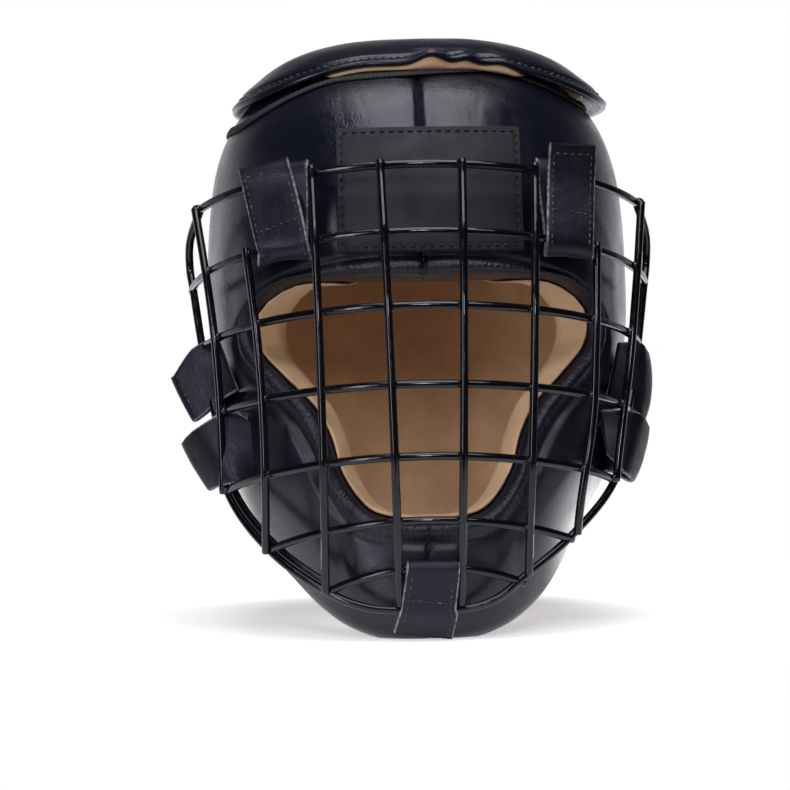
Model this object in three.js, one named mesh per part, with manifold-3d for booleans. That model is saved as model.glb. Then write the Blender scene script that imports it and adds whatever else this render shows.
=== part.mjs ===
// Full face sparring helmet: a padded leather headguard in two sewn halves, a crown pad on top,
// a welded wire cage over the face, and leather straps that hold the cage.
//
// Millimetres. +Z is up, the face looks along -Y, and x = 0 is the plane of symmetry. The helmet
// stands on z = 0, on the bottom of its chin and the bottom of its nape. Left is -X, as seen
// from the front. Shapes are laid out from the middle of the headguard, and the whole is then
// moved so that the origin lies under the middle of its box.
import * as THREE from 'three';
import { mergeVertices } from 'three/addons/utils/BufferGeometryUtils.js';
import Module from 'manifold-3d';

const wasm = await Module();
wasm.setup();

// Driving dimensions

const GAP = 0.3; // clearance between pieces that touch
const MIDDLE_Y = -21.6; // middle of the whole depth, from the cage to the back of the crown pad
const LEFT = -1;
const RIGHT = 1;

// Outer form of the headguard: level sections that are superellipses, closing in a dome
const BODY = {
  widestZ: 165,
  topZ: 284,
  halfWidth: 106.5,
  frontDepth: 120,
  backDepth: 108,
  lean: 0.176, // the section centres move back by this much per mm of height
  planPower: 2.3,
  domePower: 3.2,
  widthTaper: 0.45, // share of the width lost at the bottom
  leastWidth: 0.05, // share of the width that is left far below it
  frontTaper: 0.175,
  backTaper: 0.12,
};
const WALL = 25; // padded wall, leather to lining
const SEAM_DIP = 1.2; // the centre seam pulls the leather in
const SEAM_STEP = 1.5; // degrees from the seam where the dip ends
const LINING = { thickness: 1.5, clearance: 0.9 };

// The neck rim is lowest at chin and nape and rises at the sides, where the neck goes in
const RIM = { chinZ: -4, napeZ: -14, rise: 50, power: 3 };

// The face opening's outline on the right half, from brow to chin
const FACE_OUTLINE = [
  { x: 0, z: 172.5 },
  { x: 45, z: 172.5 },
  { x: 70, z: 169 },
  { x: 86, z: 155 },
  { x: 85.5, z: 139 },
  { x: 72, z: 124 },
  { x: 57, z: 110 },
  { x: 49, z: 96 },
  { x: 43, z: 77 },
  { x: 30, z: 61 },
  { x: 13, z: 56.5 },
  { x: 0, z: 56 },
];

// The padded edge of the face opening: reach is into the wall from the outline, depth is below
// the outer surface. The leather rolls over the front of the edge, and the padding behind it
// slants towards the face.
const FACE_ROLL = [
  { reach: 0, depth: 7 },
  { reach: 0.7, depth: 3.6 },
  { reach: 3.2, depth: 1.1 },
  { reach: 9, depth: 0 },
];
const FACE_PADDING = [
  { reach: 10, depth: 25 },
  { reach: 2, depth: 24 },
  { reach: -1.5, depth: 20 },
  { reach: -0.8, depth: 13 },
];
const RIM_ROLL_STEPS = 6;
const WALL_STEPS = 8; // samples along the wall between its two edges

// The fan of half-planes that cuts the wall: its axis runs through the face and the neck
const FAN = {
  centre: new THREE.Vector3(0, -61, 52),
  faceAxis: new THREE.Vector3(0, -0.625, 0.78).normalize(),
  stepCount: 18,
};

// The crown pad's edge falls towards the back and, by sideDrop at halfWidth, towards the sides
const CROWN = {
  centre: new THREE.Vector3(0, 18, 215),
  frontY: -65,
  frontZ: 273,
  fall: 0.118,
  sideDrop: 6,
  halfWidth: 90,
  clearance: 1.4,
  lining: 1.2,
  flange: 3,
  flangeStart: 0.9, // share of the way out from the middle to the edge
  liftStart: 0.62, // the same, where the edge begins to stand off
  padding: 10,
  aroundSteps: 30,
};
// Places where the pad's edge stands off the headguard, by azimuth from the front
const CROWN_LIFTS = [
  { azimuth: 0, spread: 9, lift: 4.2 },
  { azimuth: 27, spread: 9, lift: 2.6 },
  { azimuth: 78, spread: 30, lift: 6 },
  { azimuth: -78, spread: 30, lift: 6 },
];
// Binding tape on the headguard: seat is the height of its inner side over the outer form, whose flat
// faces lie a little lower
const BINDING = { below: 1.2, height: 5, thickness: 1.6, seat: -0.2 };

const PATCH = {
  middleX: 3.7,
  halfWidth: 44,
  bottomZ: 183,
  topZ: 243,
  thickness: 2,
  acrossSteps: 8,
  upSteps: 4,
};

// The cage's hoops lie on a dome: level and apexY place the middle of each hoop, half is its
// half width, rake is the tilt of its plane in degrees, and end is the share of half it reaches
const WIRE = { radius: 2, sides: 6, weldOffset: 1.45, hoopSteps: 14, barSteps: 8, outerSteps: 37 };
const DOME_DEPTH = 120;
const HOOPS = [
  { level: 225, apexY: -128, half: 120.6, rake: 15, end: 0.904 },
  { level: 192.8, apexY: -143, half: 115.5, rake: 14, end: 0.994 },
  { level: 158.2, apexY: -153, half: 111, rake: 12, end: 0.985 },
  { level: 121.7, apexY: -157, half: 107.5, rake: 11, end: 0.957 },
  { level: 88.4, apexY: -156, half: 106, rake: 15, end: 0.918 },
  { level: 58.4, apexY: -150, half: 101, rake: 22, end: 0.73 },
  { level: 39, apexY: -144, half: 90, rake: 60, end: 0.51 },
];
const CAGE_FOOT = { level: 16.8, apexY: -138, half: 98, rake: 50 };
const BARS = [
  { topX: 19, footX: 15, topLevel: 226.5, footLevel: 17.2 },
  { topX: 52, footX: 47, topLevel: 227.5, footLevel: 38.5 },
  { topX: 82, footX: 75, topLevel: 195, footLevel: 57 },
  { topX: 107.5, footX: 94.5, topLevel: 225, footLevel: 87 },
];
// The side of the cage's outer wire, as shares of the hoops' half widths
const SIDE_WIRE = [
  { share: 0.904, level: 225 },
  { share: 0.97, level: 214 },
  { share: 0.988, level: 203 },
  { share: 0.988, level: 192.8 },
  { share: 0.985, level: 158.2 },
  { share: 0.957, level: 121.7 },
  { share: 0.918, level: 88.4 },
];

const STRAP = { thickness: 2.2, foldRadius: 4.8, layerGap: 0.9, wireRadius: 4 };
const TOP_STRAP = { x: 67, width: 22, foldRadius: 5.9, anchorLowZ: 196, anchorHighZ: 210, overTop: 9 };
const CHIN_STRAP = { width: 23.5, footWidth: 29, footZ: 4.5, rollBack: 0.7, tailZ: 27 };
const SIDE_STRAPS = [
  { name: 'upper', z: 120, width: 23, tongue: 15 },
  { name: 'lower', z: 91, width: 23, tongue: 21 },
];
const SIDE_FOLD = 19; // how far the fold of a side strap stands out from the side wire
const SIDE_ANCHOR = { near: 17, far: 33 };
const SIDE_TONGUE = 6; // length of the free end that lies on the cheek

// Colours and finishes
const MATERIALS = {
  leather: { color: 0x141519, roughness: 0.35, metalness: 0 },
  strapLeather: { color: 0x191a1f, roughness: 0.45, metalness: 0 },
  lining: { color: 0xb98a5e, roughness: 0.7, metalness: 0 },
  binding: { color: 0x17181b, roughness: 0.8, metalness: 0 },
  rubber: { color: 0x2c2d30, roughness: 0.75, metalness: 0 },
  coatedWire: { color: 0x0c0c0e, roughness: 0.3, metalness: 0.2 },
};

// Helpers

const radians = THREE.MathUtils.degToRad;
const UP = new THREE.Vector3(0, 0, 1);
const FORWARD = new THREE.Vector3(0, -1, 0);
const helmet = new THREE.Group();

function addPiece(name, geometry, finish) {
  const mesh = new THREE.Mesh(geometry, new THREE.MeshStandardMaterial(MATERIALS[finish]));
  mesh.name = name;
  helmet.add(mesh);
}

function signedVolume(positions, indices) {
  const corner = [new THREE.Vector3(), new THREE.Vector3(), new THREE.Vector3()];
  let volume = 0;
  for (let i = 0; i < indices.length; i += 3) {
    corner.forEach((point, k) => point.fromArray(positions, indices[i + k] * 3));
    volume += corner[0].dot(corner[1].clone().cross(corner[2]));
  }
  return volume / 6;
}

function closedGeometry(points, indices) {
  const positions = points.flatMap((point) => point.toArray());
  const outward = signedVolume(positions, indices) > 0 ? indices : indices.slice().reverse();
  const geometry = new THREE.BufferGeometry();
  geometry.setAttribute('position', new THREE.Float32BufferAttribute(positions, 3));
  geometry.setIndex(outward);
  geometry.computeVertexNormals();
  return geometry;
}

// A skin through loops that all have the same number of points, each square split along its
// shorter diagonal. An open loft gets flat caps, laid out on the two given axes.
function loft(loops, { ring = false, capAxes = ['y', 'z'] } = {}) {
  const count = loops[0].length;
  const points = loops.flat();
  const indices = [];
  const strips = ring ? loops.length : loops.length - 1;
  for (let strip = 0; strip < strips; strip++) {
    const here = strip * count;
    const there = ((strip + 1) % loops.length) * count;
    for (let i = 0; i < count; i++) {
      const next = (i + 1) % count;
      const [a, b, c, d] = [here + i, here + next, there + next, there + i];
      const splitAC = points[a].distanceTo(points[c]) < points[b].distanceTo(points[d]);
      indices.push(...(splitAC ? [a, b, c, a, c, d] : [a, b, d, b, c, d]));
    }
  }
  if (!ring) {
    const last = (loops.length - 1) * count;
    const flat = (loop) => loop.map((p) => new THREE.Vector2(p[capAxes[0]], p[capAxes[1]]));
    for (const [loop, start, atEnd] of [[loops[0], 0, false], [loops.at(-1), last, true]]) {
      const contour = flat(loop);
      const clockwise = THREE.ShapeUtils.isClockWise(contour);
      const order = contour.map((_, i) => (clockwise ? count - 1 - i : i));
      const faces = THREE.ShapeUtils.triangulateShape(order.map((i) => contour[i]), []);
      for (const face of faces) {
        const [a, b, c] = face.map((i) => start + order[i]);
        const turned = clockwise !== atEnd;
        indices.push(...(turned ? [a, b, c] : [a, c, b]));
      }
    }
  }
  return closedGeometry(points, indices);
}

const BISECT_STEPS = 44;

function bisect(isBefore, low, high) {
  for (let step = 0; step < BISECT_STEPS; step++) {
    const middle = (low + high) / 2;
    if (isBefore(middle)) low = middle;
    else high = middle;
  }
  return (low + high) / 2;
}

// Outer form of the headguard

function bodySection(z) {
  const drop = Math.max(0, (BODY.widestZ - z) / BODY.widestZ) ** 2;
  return {
    centreY: BODY.lean * (z - BODY.widestZ),
    half: BODY.halfWidth * Math.max(1 - BODY.widthTaper * drop, BODY.leastWidth),
    front: BODY.frontDepth * (1 - BODY.frontTaper * drop),
    back: BODY.backDepth * (1 - BODY.backTaper * drop),
  };
}

// 1 on the outer surface, less inside, more outside
function bodyField(p) {
  const section = bodySection(p.z);
  const alongY = p.y - section.centreY;
  const depth = alongY < 0 ? section.front : section.back;
  const plan = (Math.abs(p.x) / section.half) ** BODY.planPower
    + (Math.abs(alongY) / depth) ** BODY.planPower;
  const rise = Math.max(0, (p.z - BODY.widestZ) / (BODY.topZ - BODY.widestZ));
  const across = plan ** (BODY.domePower / BODY.planPower);
  return (across + rise ** BODY.domePower) ** (1 / BODY.domePower);
}

const REACH = 400; // longer than any ray inside the body

function surfacePoint(origin, direction) {
  const at = (distance) => origin.clone().addScaledVector(direction, distance);
  return at(bisect((distance) => bodyField(at(distance)) < 1, 0, REACH));
}

function surfaceNormal(p) {
  const step = 0.5;
  const slope = (axis) => {
    const ahead = p.clone();
    const behind = p.clone();
    ahead[axis] += step;
    behind[axis] -= step;
    return bodyField(ahead) - bodyField(behind);
  };
  return new THREE.Vector3(slope('x'), slope('y'), slope('z')).normalize();
}

// Face opening and neck rim

const faceSpline = new THREE.SplineCurve([
  ...FACE_OUTLINE.map(({ x, z }) => new THREE.Vector2(x, z)),
  ...FACE_OUTLINE.slice(1, -1).reverse().map(({ x, z }) => new THREE.Vector2(-x, z)),
  new THREE.Vector2(FACE_OUTLINE[0].x, FACE_OUTLINE[0].z),
]);
const FACE_SAMPLES = 240;
const facePolygon = faceSpline.getPoints(FACE_SAMPLES);

function isInFace(p) {
  if (p.y > FAN.centre.y) return false;
  let inside = false;
  for (let i = 0, j = facePolygon.length - 1; i < facePolygon.length; j = i++) {
    const a = facePolygon[i];
    const b = facePolygon[j];
    const crosses = a.y > p.z !== b.y > p.z;
    if (crosses && p.x < ((b.x - a.x) * (p.z - a.y)) / (b.y - a.y) + a.x) inside = !inside;
  }
  return inside;
}

function isAboveRim(p) {
  const azimuth = Math.atan2(p.x, -(p.y - bodySection(p.z).centreY));
  const lowZ = THREE.MathUtils.lerp(RIM.chinZ, RIM.napeZ, (1 - Math.cos(azimuth)) / 2);
  return p.z > lowZ + RIM.rise * Math.abs(Math.sin(azimuth)) ** RIM.power;
}

// The wall's sections

const fanUp = new THREE.Vector3(1, 0, 0).cross(FAN.faceAxis).normalize();
if (fanUp.z < 0) fanUp.negate();

function fanDirection(turn, spread) {
  const sideways = fanUp.clone().multiplyScalar(Math.cos(turn));
  sideways.x += Math.sin(turn);
  return FAN.faceAxis.clone().multiplyScalar(Math.cos(spread)).addScaledVector(sideways, Math.sin(spread));
}

// One section of the wall: a way to place points by their distance along the outer surface from
// the face outline and their depth below that surface
function wallSection(turn) {
  const hit = (spread) => surfacePoint(FAN.centre, fanDirection(turn, spread));
  const scan = radians(3);
  let faceSpread = scan;
  while (isInFace(hit(faceSpread))) faceSpread += scan;
  faceSpread = bisect((spread) => isInFace(hit(spread)), faceSpread - scan, faceSpread);
  let rimSpread = Math.PI - scan;
  while (!isAboveRim(hit(rimSpread))) rimSpread -= scan;
  rimSpread = bisect((spread) => isAboveRim(hit(spread)), rimSpread, rimSpread + scan);

  const sampleCount = 80;
  const margin = radians(4);
  const spreads = [];
  const lengths = [];
  let length = 0;
  let previous = null;
  for (let i = 0; i <= sampleCount; i++) {
    const spread = faceSpread - margin + ((rimSpread - faceSpread + 2 * margin) * i) / sampleCount;
    const point = hit(spread);
    if (previous) length += point.distanceTo(previous);
    spreads.push(spread);
    lengths.push(length);
    previous = point;
  }
  const interpolate = (value, from, to) => {
    let i = 1;
    while (i < from.length - 1 && from[i] < value) i++;
    const share = (value - from[i - 1]) / (from[i] - from[i - 1]);
    return to[i - 1] + share * (to[i] - to[i - 1]);
  };
  const faceLength = interpolate(faceSpread, spreads, lengths);
  const rimLength = interpolate(rimSpread, spreads, lengths);
  return {
    length: rimLength - faceLength,
    point(reach, depth) {
      const outer = hit(interpolate(faceLength + reach, lengths, spreads));
      const placed = outer.clone().addScaledVector(surfaceNormal(outer), -depth);
      placed.z = Math.max(placed.z, 0);
      return placed;
    },
  };
}

function rimRoll(length, firstStep, lastStep) {
  const radius = WALL / 2;
  const steps = [];
  for (let step = firstStep; step <= lastStep; step++) {
    const angle = (Math.PI * step) / RIM_ROLL_STEPS;
    const reach = length - radius + radius * Math.sin(angle);
    steps.push({ reach, depth: radius - radius * Math.cos(angle) });
  }
  return steps;
}

// Samples along the wall between its padded edges
function wallRun(length, depth) {
  const from = FACE_ROLL.at(-1).reach;
  const to = length - WALL / 2;
  const run = [];
  for (let step = 1; step < WALL_STEPS; step++) {
    run.push({ reach: from + ((to - from) * step) / WALL_STEPS, depth });
  }
  return run;
}

function shellProfile(section, dip) {
  const { length } = section;
  const outside = [...FACE_ROLL, ...wallRun(length, 0), ...rimRoll(length, 0, RIM_ROLL_STEPS - 1)];
  const inside = [...rimRoll(length, RIM_ROLL_STEPS, RIM_ROLL_STEPS), ...wallRun(length, WALL).reverse(),
    ...FACE_PADDING];
  const dipped = outside.map(({ reach, depth }) => (
    { reach, depth: depth + dip * Math.max(0, 1 - (2 * depth) / WALL) }));
  return [...dipped, ...inside];
}

// Turns of the fan from the brow seam to the chin seam, with a step close to each seam
const turns = [0, radians(SEAM_STEP)];
for (let step = 1; step < FAN.stepCount; step++) turns.push((Math.PI * step) / FAN.stepCount);
turns.push(Math.PI - radians(SEAM_STEP), Math.PI);
const sections = turns.map(wallSection);

const mirrored = (p) => new THREE.Vector3(-p.x, p.y, p.z);

function headguardHalf(side) {
  const loops = sections.map((section, i) => {
    const atSeam = i === 0 || i === sections.length - 1;
    const profile = shellProfile(section, atSeam ? SEAM_DIP : 0);
    const loop = profile.map(({ reach, depth }) => section.point(reach, depth));
    if (atSeam) loop.forEach((p) => { p.x = GAP / 2; });
    return side === RIGHT ? loop : loop.map(mirrored);
  });
  return loft(loops);
}

// Moves a path sideways, to its left as depth over reach
function offsetPath(path, distance) {
  return path.map((step, i) => {
    const before = path[Math.max(i - 1, 0)];
    const after = path[Math.min(i + 1, path.length - 1)];
    const along = new THREE.Vector2(after.reach - before.reach, after.depth - before.depth).normalize();
    return { reach: step.reach - along.y * distance, depth: step.depth + along.x * distance };
  });
}

function liningGeometry() {
  const rightLoops = sections.map((section) => {
    const { length } = section;
    const path = [...FACE_PADDING.slice().reverse(), ...wallRun(length, WALL),
      ...rimRoll(length, RIM_ROLL_STEPS - 1, RIM_ROLL_STEPS).reverse()];
    const outerSkin = offsetPath(path, LINING.clearance);
    const innerSkin = offsetPath(path, LINING.clearance + LINING.thickness);
    return [...outerSkin, ...innerSkin.reverse()].map(({ reach, depth }) => section.point(reach, depth));
  });
  for (const end of [0, rightLoops.length - 1]) rightLoops[end].forEach((p) => { p.x = 0; });
  const leftLoops = rightLoops.slice(1, -1).reverse().map((loop) => loop.map(mirrored));
  return loft([...rightLoops, ...leftLoops], { ring: true });
}

addPiece('headguard_left', headguardHalf(LEFT), 'leather');
addPiece('headguard_right', headguardHalf(RIGHT), 'leather');
addPiece('lining', liningGeometry(), 'lining');

// Crown pad, its lining and the binding tape below it

function crownSpread(azimuth, share) {
  const direction = (tilt) => new THREE.Vector3(
    Math.sin(azimuth) * Math.sin(tilt), -Math.cos(azimuth) * Math.sin(tilt), Math.cos(tilt));
  const hit = (tilt) => surfacePoint(CROWN.centre, direction(tilt));
  const edgeZ = (p) => CROWN.frontZ - CROWN.fall * (p.y - CROWN.frontY)
    - CROWN.sideDrop * (p.x / CROWN.halfWidth) ** 2;
  const isAboveEdge = (p) => p.z > edgeZ(p);
  const edgeTilt = bisect((tilt) => isAboveEdge(hit(tilt)), 0, Math.PI / 2);
  return hit(edgeTilt * share);
}

function crownLift(azimuth, share) {
  const eased = THREE.MathUtils.smoothstep(share, CROWN.liftStart, 1);
  let lift = 0;
  for (const row of CROWN_LIFTS) {
    const away = (THREE.MathUtils.radToDeg(azimuth) - row.azimuth) / row.spread;
    lift += row.lift * Math.exp(-away * away);
  }
  return lift * eased;
}

function crownPoint(azimuth, share, height) {
  const base = crownSpread(azimuth, share);
  return base.addScaledVector(surfaceNormal(base), height);
}

function crownAzimuths() {
  const steps = [];
  for (let step = 0; step < CROWN.aroundSteps; step++) {
    steps.push(-Math.PI + (2 * Math.PI * step) / CROWN.aroundSteps);
  }
  return steps;
}

// A disc that follows the dome: rings of points on its underside and its top, and a point in the
// middle of each
function crownDisc(underside, top, shares) {
  const azimuths = crownAzimuths();
  const points = [];
  const indices = [];
  const count = azimuths.length;
  const rings = [
    ...shares.map((share) => ({ share, height: underside })),
    ...shares.slice().reverse().map((share) => ({ share, height: top })),
  ];
  for (const { share, height } of rings) {
    for (const azimuth of azimuths) points.push(crownPoint(azimuth, share, height(azimuth, share)));
  }
  for (let ring = 0; ring < rings.length - 1; ring++) {
    for (let i = 0; i < count; i++) {
      const next = (i + 1) % count;
      const here = ring * count;
      const there = here + count;
      indices.push(here + i, there + i, there + next, here + i, there + next, here + next);
    }
  }
  const lower = points.push(crownPoint(0, 0, underside(0, 0))) - 1;
  const upper = points.push(crownPoint(0, 0, top(0, 0))) - 1;
  const lastRing = (rings.length - 1) * count;
  for (let i = 0; i < count; i++) {
    const next = (i + 1) % count;
    indices.push(lower, i, next);
    indices.push(upper, lastRing + next, lastRing + i);
  }
  return closedGeometry(points, indices);
}

function padThickness(share) {
  const inward = Math.max(0, 1 - (share / CROWN.flangeStart) ** 3);
  return CROWN.flange + (CROWN.padding - CROWN.flange) * Math.sqrt(inward);
}

const CROWN_SHARES = [0.28, 0.54, 0.74, 0.86, 0.93, 1];
const liningUnder = (azimuth, share) => CROWN.clearance + crownLift(azimuth, share);
const liningTop = (azimuth, share) => liningUnder(azimuth, share) + CROWN.lining;
const padUnder = (azimuth, share) => liningTop(azimuth, share) + 3 * GAP;
const padTop = (azimuth, share) => padUnder(azimuth, share) + padThickness(share);

function bindingGeometry() {
  const loops = crownAzimuths().map((azimuth) => {
    const edge = crownSpread(azimuth, 1);
    const normal = surfaceNormal(edge);
    const down = new THREE.Vector3(-Math.sin(azimuth), Math.cos(azimuth), 0);
    down.addScaledVector(normal, -down.dot(normal)).normalize().negate();
    if (down.z > 0) down.negate();
    const corner = (below, height) => {
      const onShell = surfacePoint(CROWN.centre, edge.clone().addScaledVector(down, below)
        .sub(CROWN.centre).normalize());
      return onShell.addScaledVector(surfaceNormal(onShell), height);
    };
    const inner = BINDING.seat;
    const outer = inner + BINDING.thickness;
    const top = BINDING.below;
    const bottom = BINDING.below + BINDING.height;
    return [corner(top, inner), corner(top, outer), corner(bottom, outer), corner(bottom, inner)];
  });
  return loft(loops, { ring: true });
}

addPiece('crown_lining', crownDisc(liningUnder, liningTop, CROWN_SHARES), 'lining');
addPiece('crown_pad', crownDisc(padUnder, padTop, CROWN_SHARES), 'leather');
addPiece('crown_binding', bindingGeometry(), 'binding');

// Patch on the forehead

function patchGeometry() {
  const loops = [];
  for (let column = 0; column <= PATCH.acrossSteps; column++) {
    const x = PATCH.middleX + PATCH.halfWidth * ((2 * column) / PATCH.acrossSteps - 1);
    const place = (row, height) => {
      const z = PATCH.bottomZ + ((PATCH.topZ - PATCH.bottomZ) * row) / PATCH.upSteps;
      const base = surfacePoint(new THREE.Vector3(x, 0, z), FORWARD);
      return base.addScaledVector(surfaceNormal(base), height);
    };
    const rows = [...Array(PATCH.upSteps + 1).keys()];
    const back = rows.map((row) => place(row, 2 * GAP));
    const front = rows.reverse().map((row) => place(row, 2 * GAP + PATCH.thickness));
    loops.push([...back, ...front]);
  }
  return loft(loops);
}

addPiece('front_patch', patchGeometry(), 'rubber');

// Wire cage

const DOME_ROWS = [...HOOPS, CAGE_FOOT];

// The dome's apex, half width and rake at a level between two hoops
function domeRow(level) {
  let i = 1;
  while (i < DOME_ROWS.length - 1 && level < DOME_ROWS[i].level) i++;
  const upper = DOME_ROWS[i - 1];
  const lower = DOME_ROWS[i];
  const share = (upper.level - level) / (upper.level - lower.level);
  const mix = (key) => upper[key] + share * (lower[key] - upper[key]);
  return { level, apexY: mix('apexY'), half: mix('half'), rake: mix('rake') };
}

// A point on the dome at x, moved out along the dome's normal
function domePoint(row, x, outward) {
  const share = THREE.MathUtils.clamp(x / row.half, -1, 1);
  const flat = Math.sqrt(1 - share * share);
  const rake = radians(row.rake);
  const fall = new THREE.Vector3(0, Math.cos(rake), -Math.sin(rake));
  const normal = new THREE.Vector3((share * DOME_DEPTH) / row.half, 0, 0);
  normal.addScaledVector(fall, -flat).normalize();
  return new THREE.Vector3(x, row.apexY, row.level)
    .addScaledVector(fall, DOME_DEPTH * (1 - flat))
    .addScaledVector(normal, outward);
}

function wireSolid(points, steps) {
  const outline = new THREE.Shape();
  for (let side = 0; side < WIRE.sides; side++) {
    const angle = (2 * Math.PI * side) / WIRE.sides;
    const at = [WIRE.radius * Math.cos(angle), WIRE.radius * Math.sin(angle)];
    if (side === 0) outline.moveTo(...at);
    else outline.lineTo(...at);
  }
  const wire = new THREE.ExtrudeGeometry(outline, {
    steps,
    extrudePath: new THREE.CatmullRomCurve3(points, false, 'centripetal'),
  });
  wire.deleteAttribute('normal');
  wire.deleteAttribute('uv');
  const merged = mergeVertices(wire);
  return new wasm.Manifold(new wasm.Mesh({
    numProp: 3,
    vertProperties: new Float32Array(merged.attributes.position.array),
    triVerts: new Uint32Array(merged.index.array),
  }));
}

function hoopSolid(hoop) {
  const points = [];
  const halfSteps = 8;
  const turnEnd = Math.asin(hoop.end);
  for (let step = -halfSteps; step <= halfSteps; step++) {
    points.push(domePoint(hoop, hoop.half * Math.sin((turnEnd * step) / halfSteps), -WIRE.weldOffset));
  }
  return wireSolid(points, WIRE.hoopSteps);
}

function barSolid(bar, side) {
  const points = [];
  for (let step = 0; step <= WIRE.barSteps; step++) {
    const share = step / WIRE.barSteps;
    const level = bar.topLevel + (bar.footLevel - bar.topLevel) * share;
    const x = bar.topX + (bar.footX - bar.topX) * share;
    points.push(domePoint(domeRow(level), side * x, WIRE.weldOffset));
  }
  return wireSolid(points, WIRE.barSteps);
}

function outerWirePoints() {
  const side = SIDE_WIRE.map(({ share, level }) => ({ level, x: share * domeRow(level).half }));
  const feet = BARS.slice(0, -1).reverse().map(({ footX, footLevel }) => ({ level: footLevel, x: footX }));
  const rightHalf = [...side, ...feet]
    .map(({ level, x }) => domePoint(domeRow(level), x, -WIRE.weldOffset));
  const middle = domePoint(CAGE_FOOT, 0, -WIRE.weldOffset);
  return [...rightHalf.map(mirrored), middle, ...rightHalf.reverse()];
}

const outerWire = new THREE.CatmullRomCurve3(outerWirePoints(), false, 'centripetal');

function cageGeometry() {
  let cage = wireSolid(outerWire.points, WIRE.outerSteps);
  for (const hoop of HOOPS) cage = cage.add(hoopSolid(hoop));
  for (const bar of BARS) {
    for (const side of [LEFT, RIGHT]) cage = cage.add(barSolid(bar, side));
  }
  const mesh = cage.getMesh();
  const geometry = new THREE.BufferGeometry();
  geometry.setAttribute('position', new THREE.Float32BufferAttribute(mesh.vertProperties, 3));
  geometry.setIndex(Array.from(mesh.triVerts));
  geometry.computeVertexNormals();
  return geometry;
}

addPiece('cage', cageGeometry(), 'coatedWire');

// Leather straps

// A strip along a path: each step has its place, the direction across the strip and its width
function ribbon(steps) {
  const half = STRAP.thickness / 2;
  const loops = steps.map(({ at, across, width }, i) => {
    const before = steps[Math.max(i - 1, 0)].at;
    const after = steps[Math.min(i + 1, steps.length - 1)].at;
    const along = after.clone().sub(before).normalize();
    const normal = along.cross(across).normalize();
    const corner = (sideways, out) => at.clone()
      .addScaledVector(across, (sideways * width) / 2)
      .addScaledVector(normal, out * half);
    return [corner(-1, -1), corner(1, -1), corner(1, 1), corner(-1, 1)];
  });
  const indices = [];
  const last = (loops.length - 1) * 4;
  for (let step = 0; step < loops.length - 1; step++) {
    for (let i = 0; i < 4; i++) {
      const here = step * 4;
      const next = (i + 1) % 4;
      indices.push(here + i, here + next, here + 4 + next, here + i, here + 4 + next, here + 4 + i);
    }
  }
  indices.push(0, 2, 1, 0, 3, 2, last, last + 1, last + 2, last, last + 2, last + 3);
  return closedGeometry(loops.flat(), indices);
}

const FOLD_STEPS = 6;

// Points of a fold round a wire, in the plane of two axes
function fold(centre, axisA, axisB, radius, fromDegrees, toDegrees, steps) {
  const points = [];
  for (let step = 0; step <= steps; step++) {
    const angle = radians(fromDegrees + ((toDegrees - fromDegrees) * step) / steps);
    points.push(centre.clone()
      .addScaledVector(axisA, radius * Math.cos(angle))
      .addScaledVector(axisB, radius * Math.sin(angle)));
  }
  return points;
}

// A step of a strap that lies on the headguard, with room for the curve across the strap
const SEAT = STRAP.thickness / 2 + 0.8;

function seatedStep(base, across, width) {
  const normal = surfaceNormal(base);
  const along = across.clone().addScaledVector(normal, -across.dot(normal)).normalize();
  return { at: base.addScaledVector(normal, SEAT), across: along, width };
}

function hoopTangent(hoop, x) {
  const step = 1;
  return domePoint(hoop, x + step, 0).sub(domePoint(hoop, x - step, 0)).normalize();
}

// Up behind the top hoop, over it, down and under the second hoop, and up the front
function topStrap(side) {
  const x = side * TOP_STRAP.x;
  const [upperHoop, lowerHoop] = HOOPS;
  const upper = domePoint(upperHoop, x, -WIRE.weldOffset);
  const lower = domePoint(lowerHoop, x, -WIRE.weldOffset);
  const upperAcross = hoopTangent(upperHoop, x);
  const lowerAcross = hoopTangent(lowerHoop, x);
  const { width } = TOP_STRAP;
  const onShell = (z) => seatedStep(surfacePoint(new THREE.Vector3(x, 0, z), FORWARD), upperAcross, width);
  const free = (at) => {
    const share = THREE.MathUtils.clamp((upper.z - at.z) / (upper.z - lower.z), 0, 1);
    return { at, across: upperAcross.clone().lerp(lowerAcross, share).normalize(), width };
  };
  const radius = TOP_STRAP.foldRadius;
  const outerRadius = radius + STRAP.thickness + STRAP.layerGap;
  const panelEnd = upper.clone().addScaledVector(FORWARD, outerRadius);
  return ribbon([
    onShell(TOP_STRAP.anchorLowZ),
    onShell(TOP_STRAP.anchorHighZ),
    ...fold(upper, FORWARD, UP, radius, 190, 0, FOLD_STEPS).map(free),
    ...fold(lower, FORWARD, UP, radius, 170, 370, FOLD_STEPS).map(free),
    free(panelEnd),
    free(panelEnd.clone().addScaledVector(UP, TOP_STRAP.overTop)),
  ]);
}

// From the chin up in front of the lowest wires, over the lowest hoop and down behind it
function chinStrap() {
  const hoop = HOOPS.at(-1);
  const upper = domePoint(hoop, 0, -WIRE.weldOffset);
  const lower = domePoint(CAGE_FOOT, 0, -WIRE.weldOffset);
  const across = new THREE.Vector3(1, 0, 0);
  const foot = surfacePoint(new THREE.Vector3(0, FAN.centre.y, CHIN_STRAP.footZ), FORWARD);
  const { width, footWidth } = CHIN_STRAP;
  const seat = STRAP.thickness / 2 + GAP - CHIN_STRAP.rollBack;
  return ribbon([
    { at: foot.addScaledVector(FORWARD, seat), across, width: footWidth },
    ...[
      ...fold(lower, FORWARD, UP, STRAP.foldRadius, -50, 0, 2),
      ...fold(upper, FORWARD, UP, STRAP.foldRadius, 0, 180, FOLD_STEPS),
      new THREE.Vector3(0, upper.y + STRAP.foldRadius, CHIN_STRAP.tailZ),
    ].map((at) => ({ at, across, width })),
  ]);
}

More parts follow.
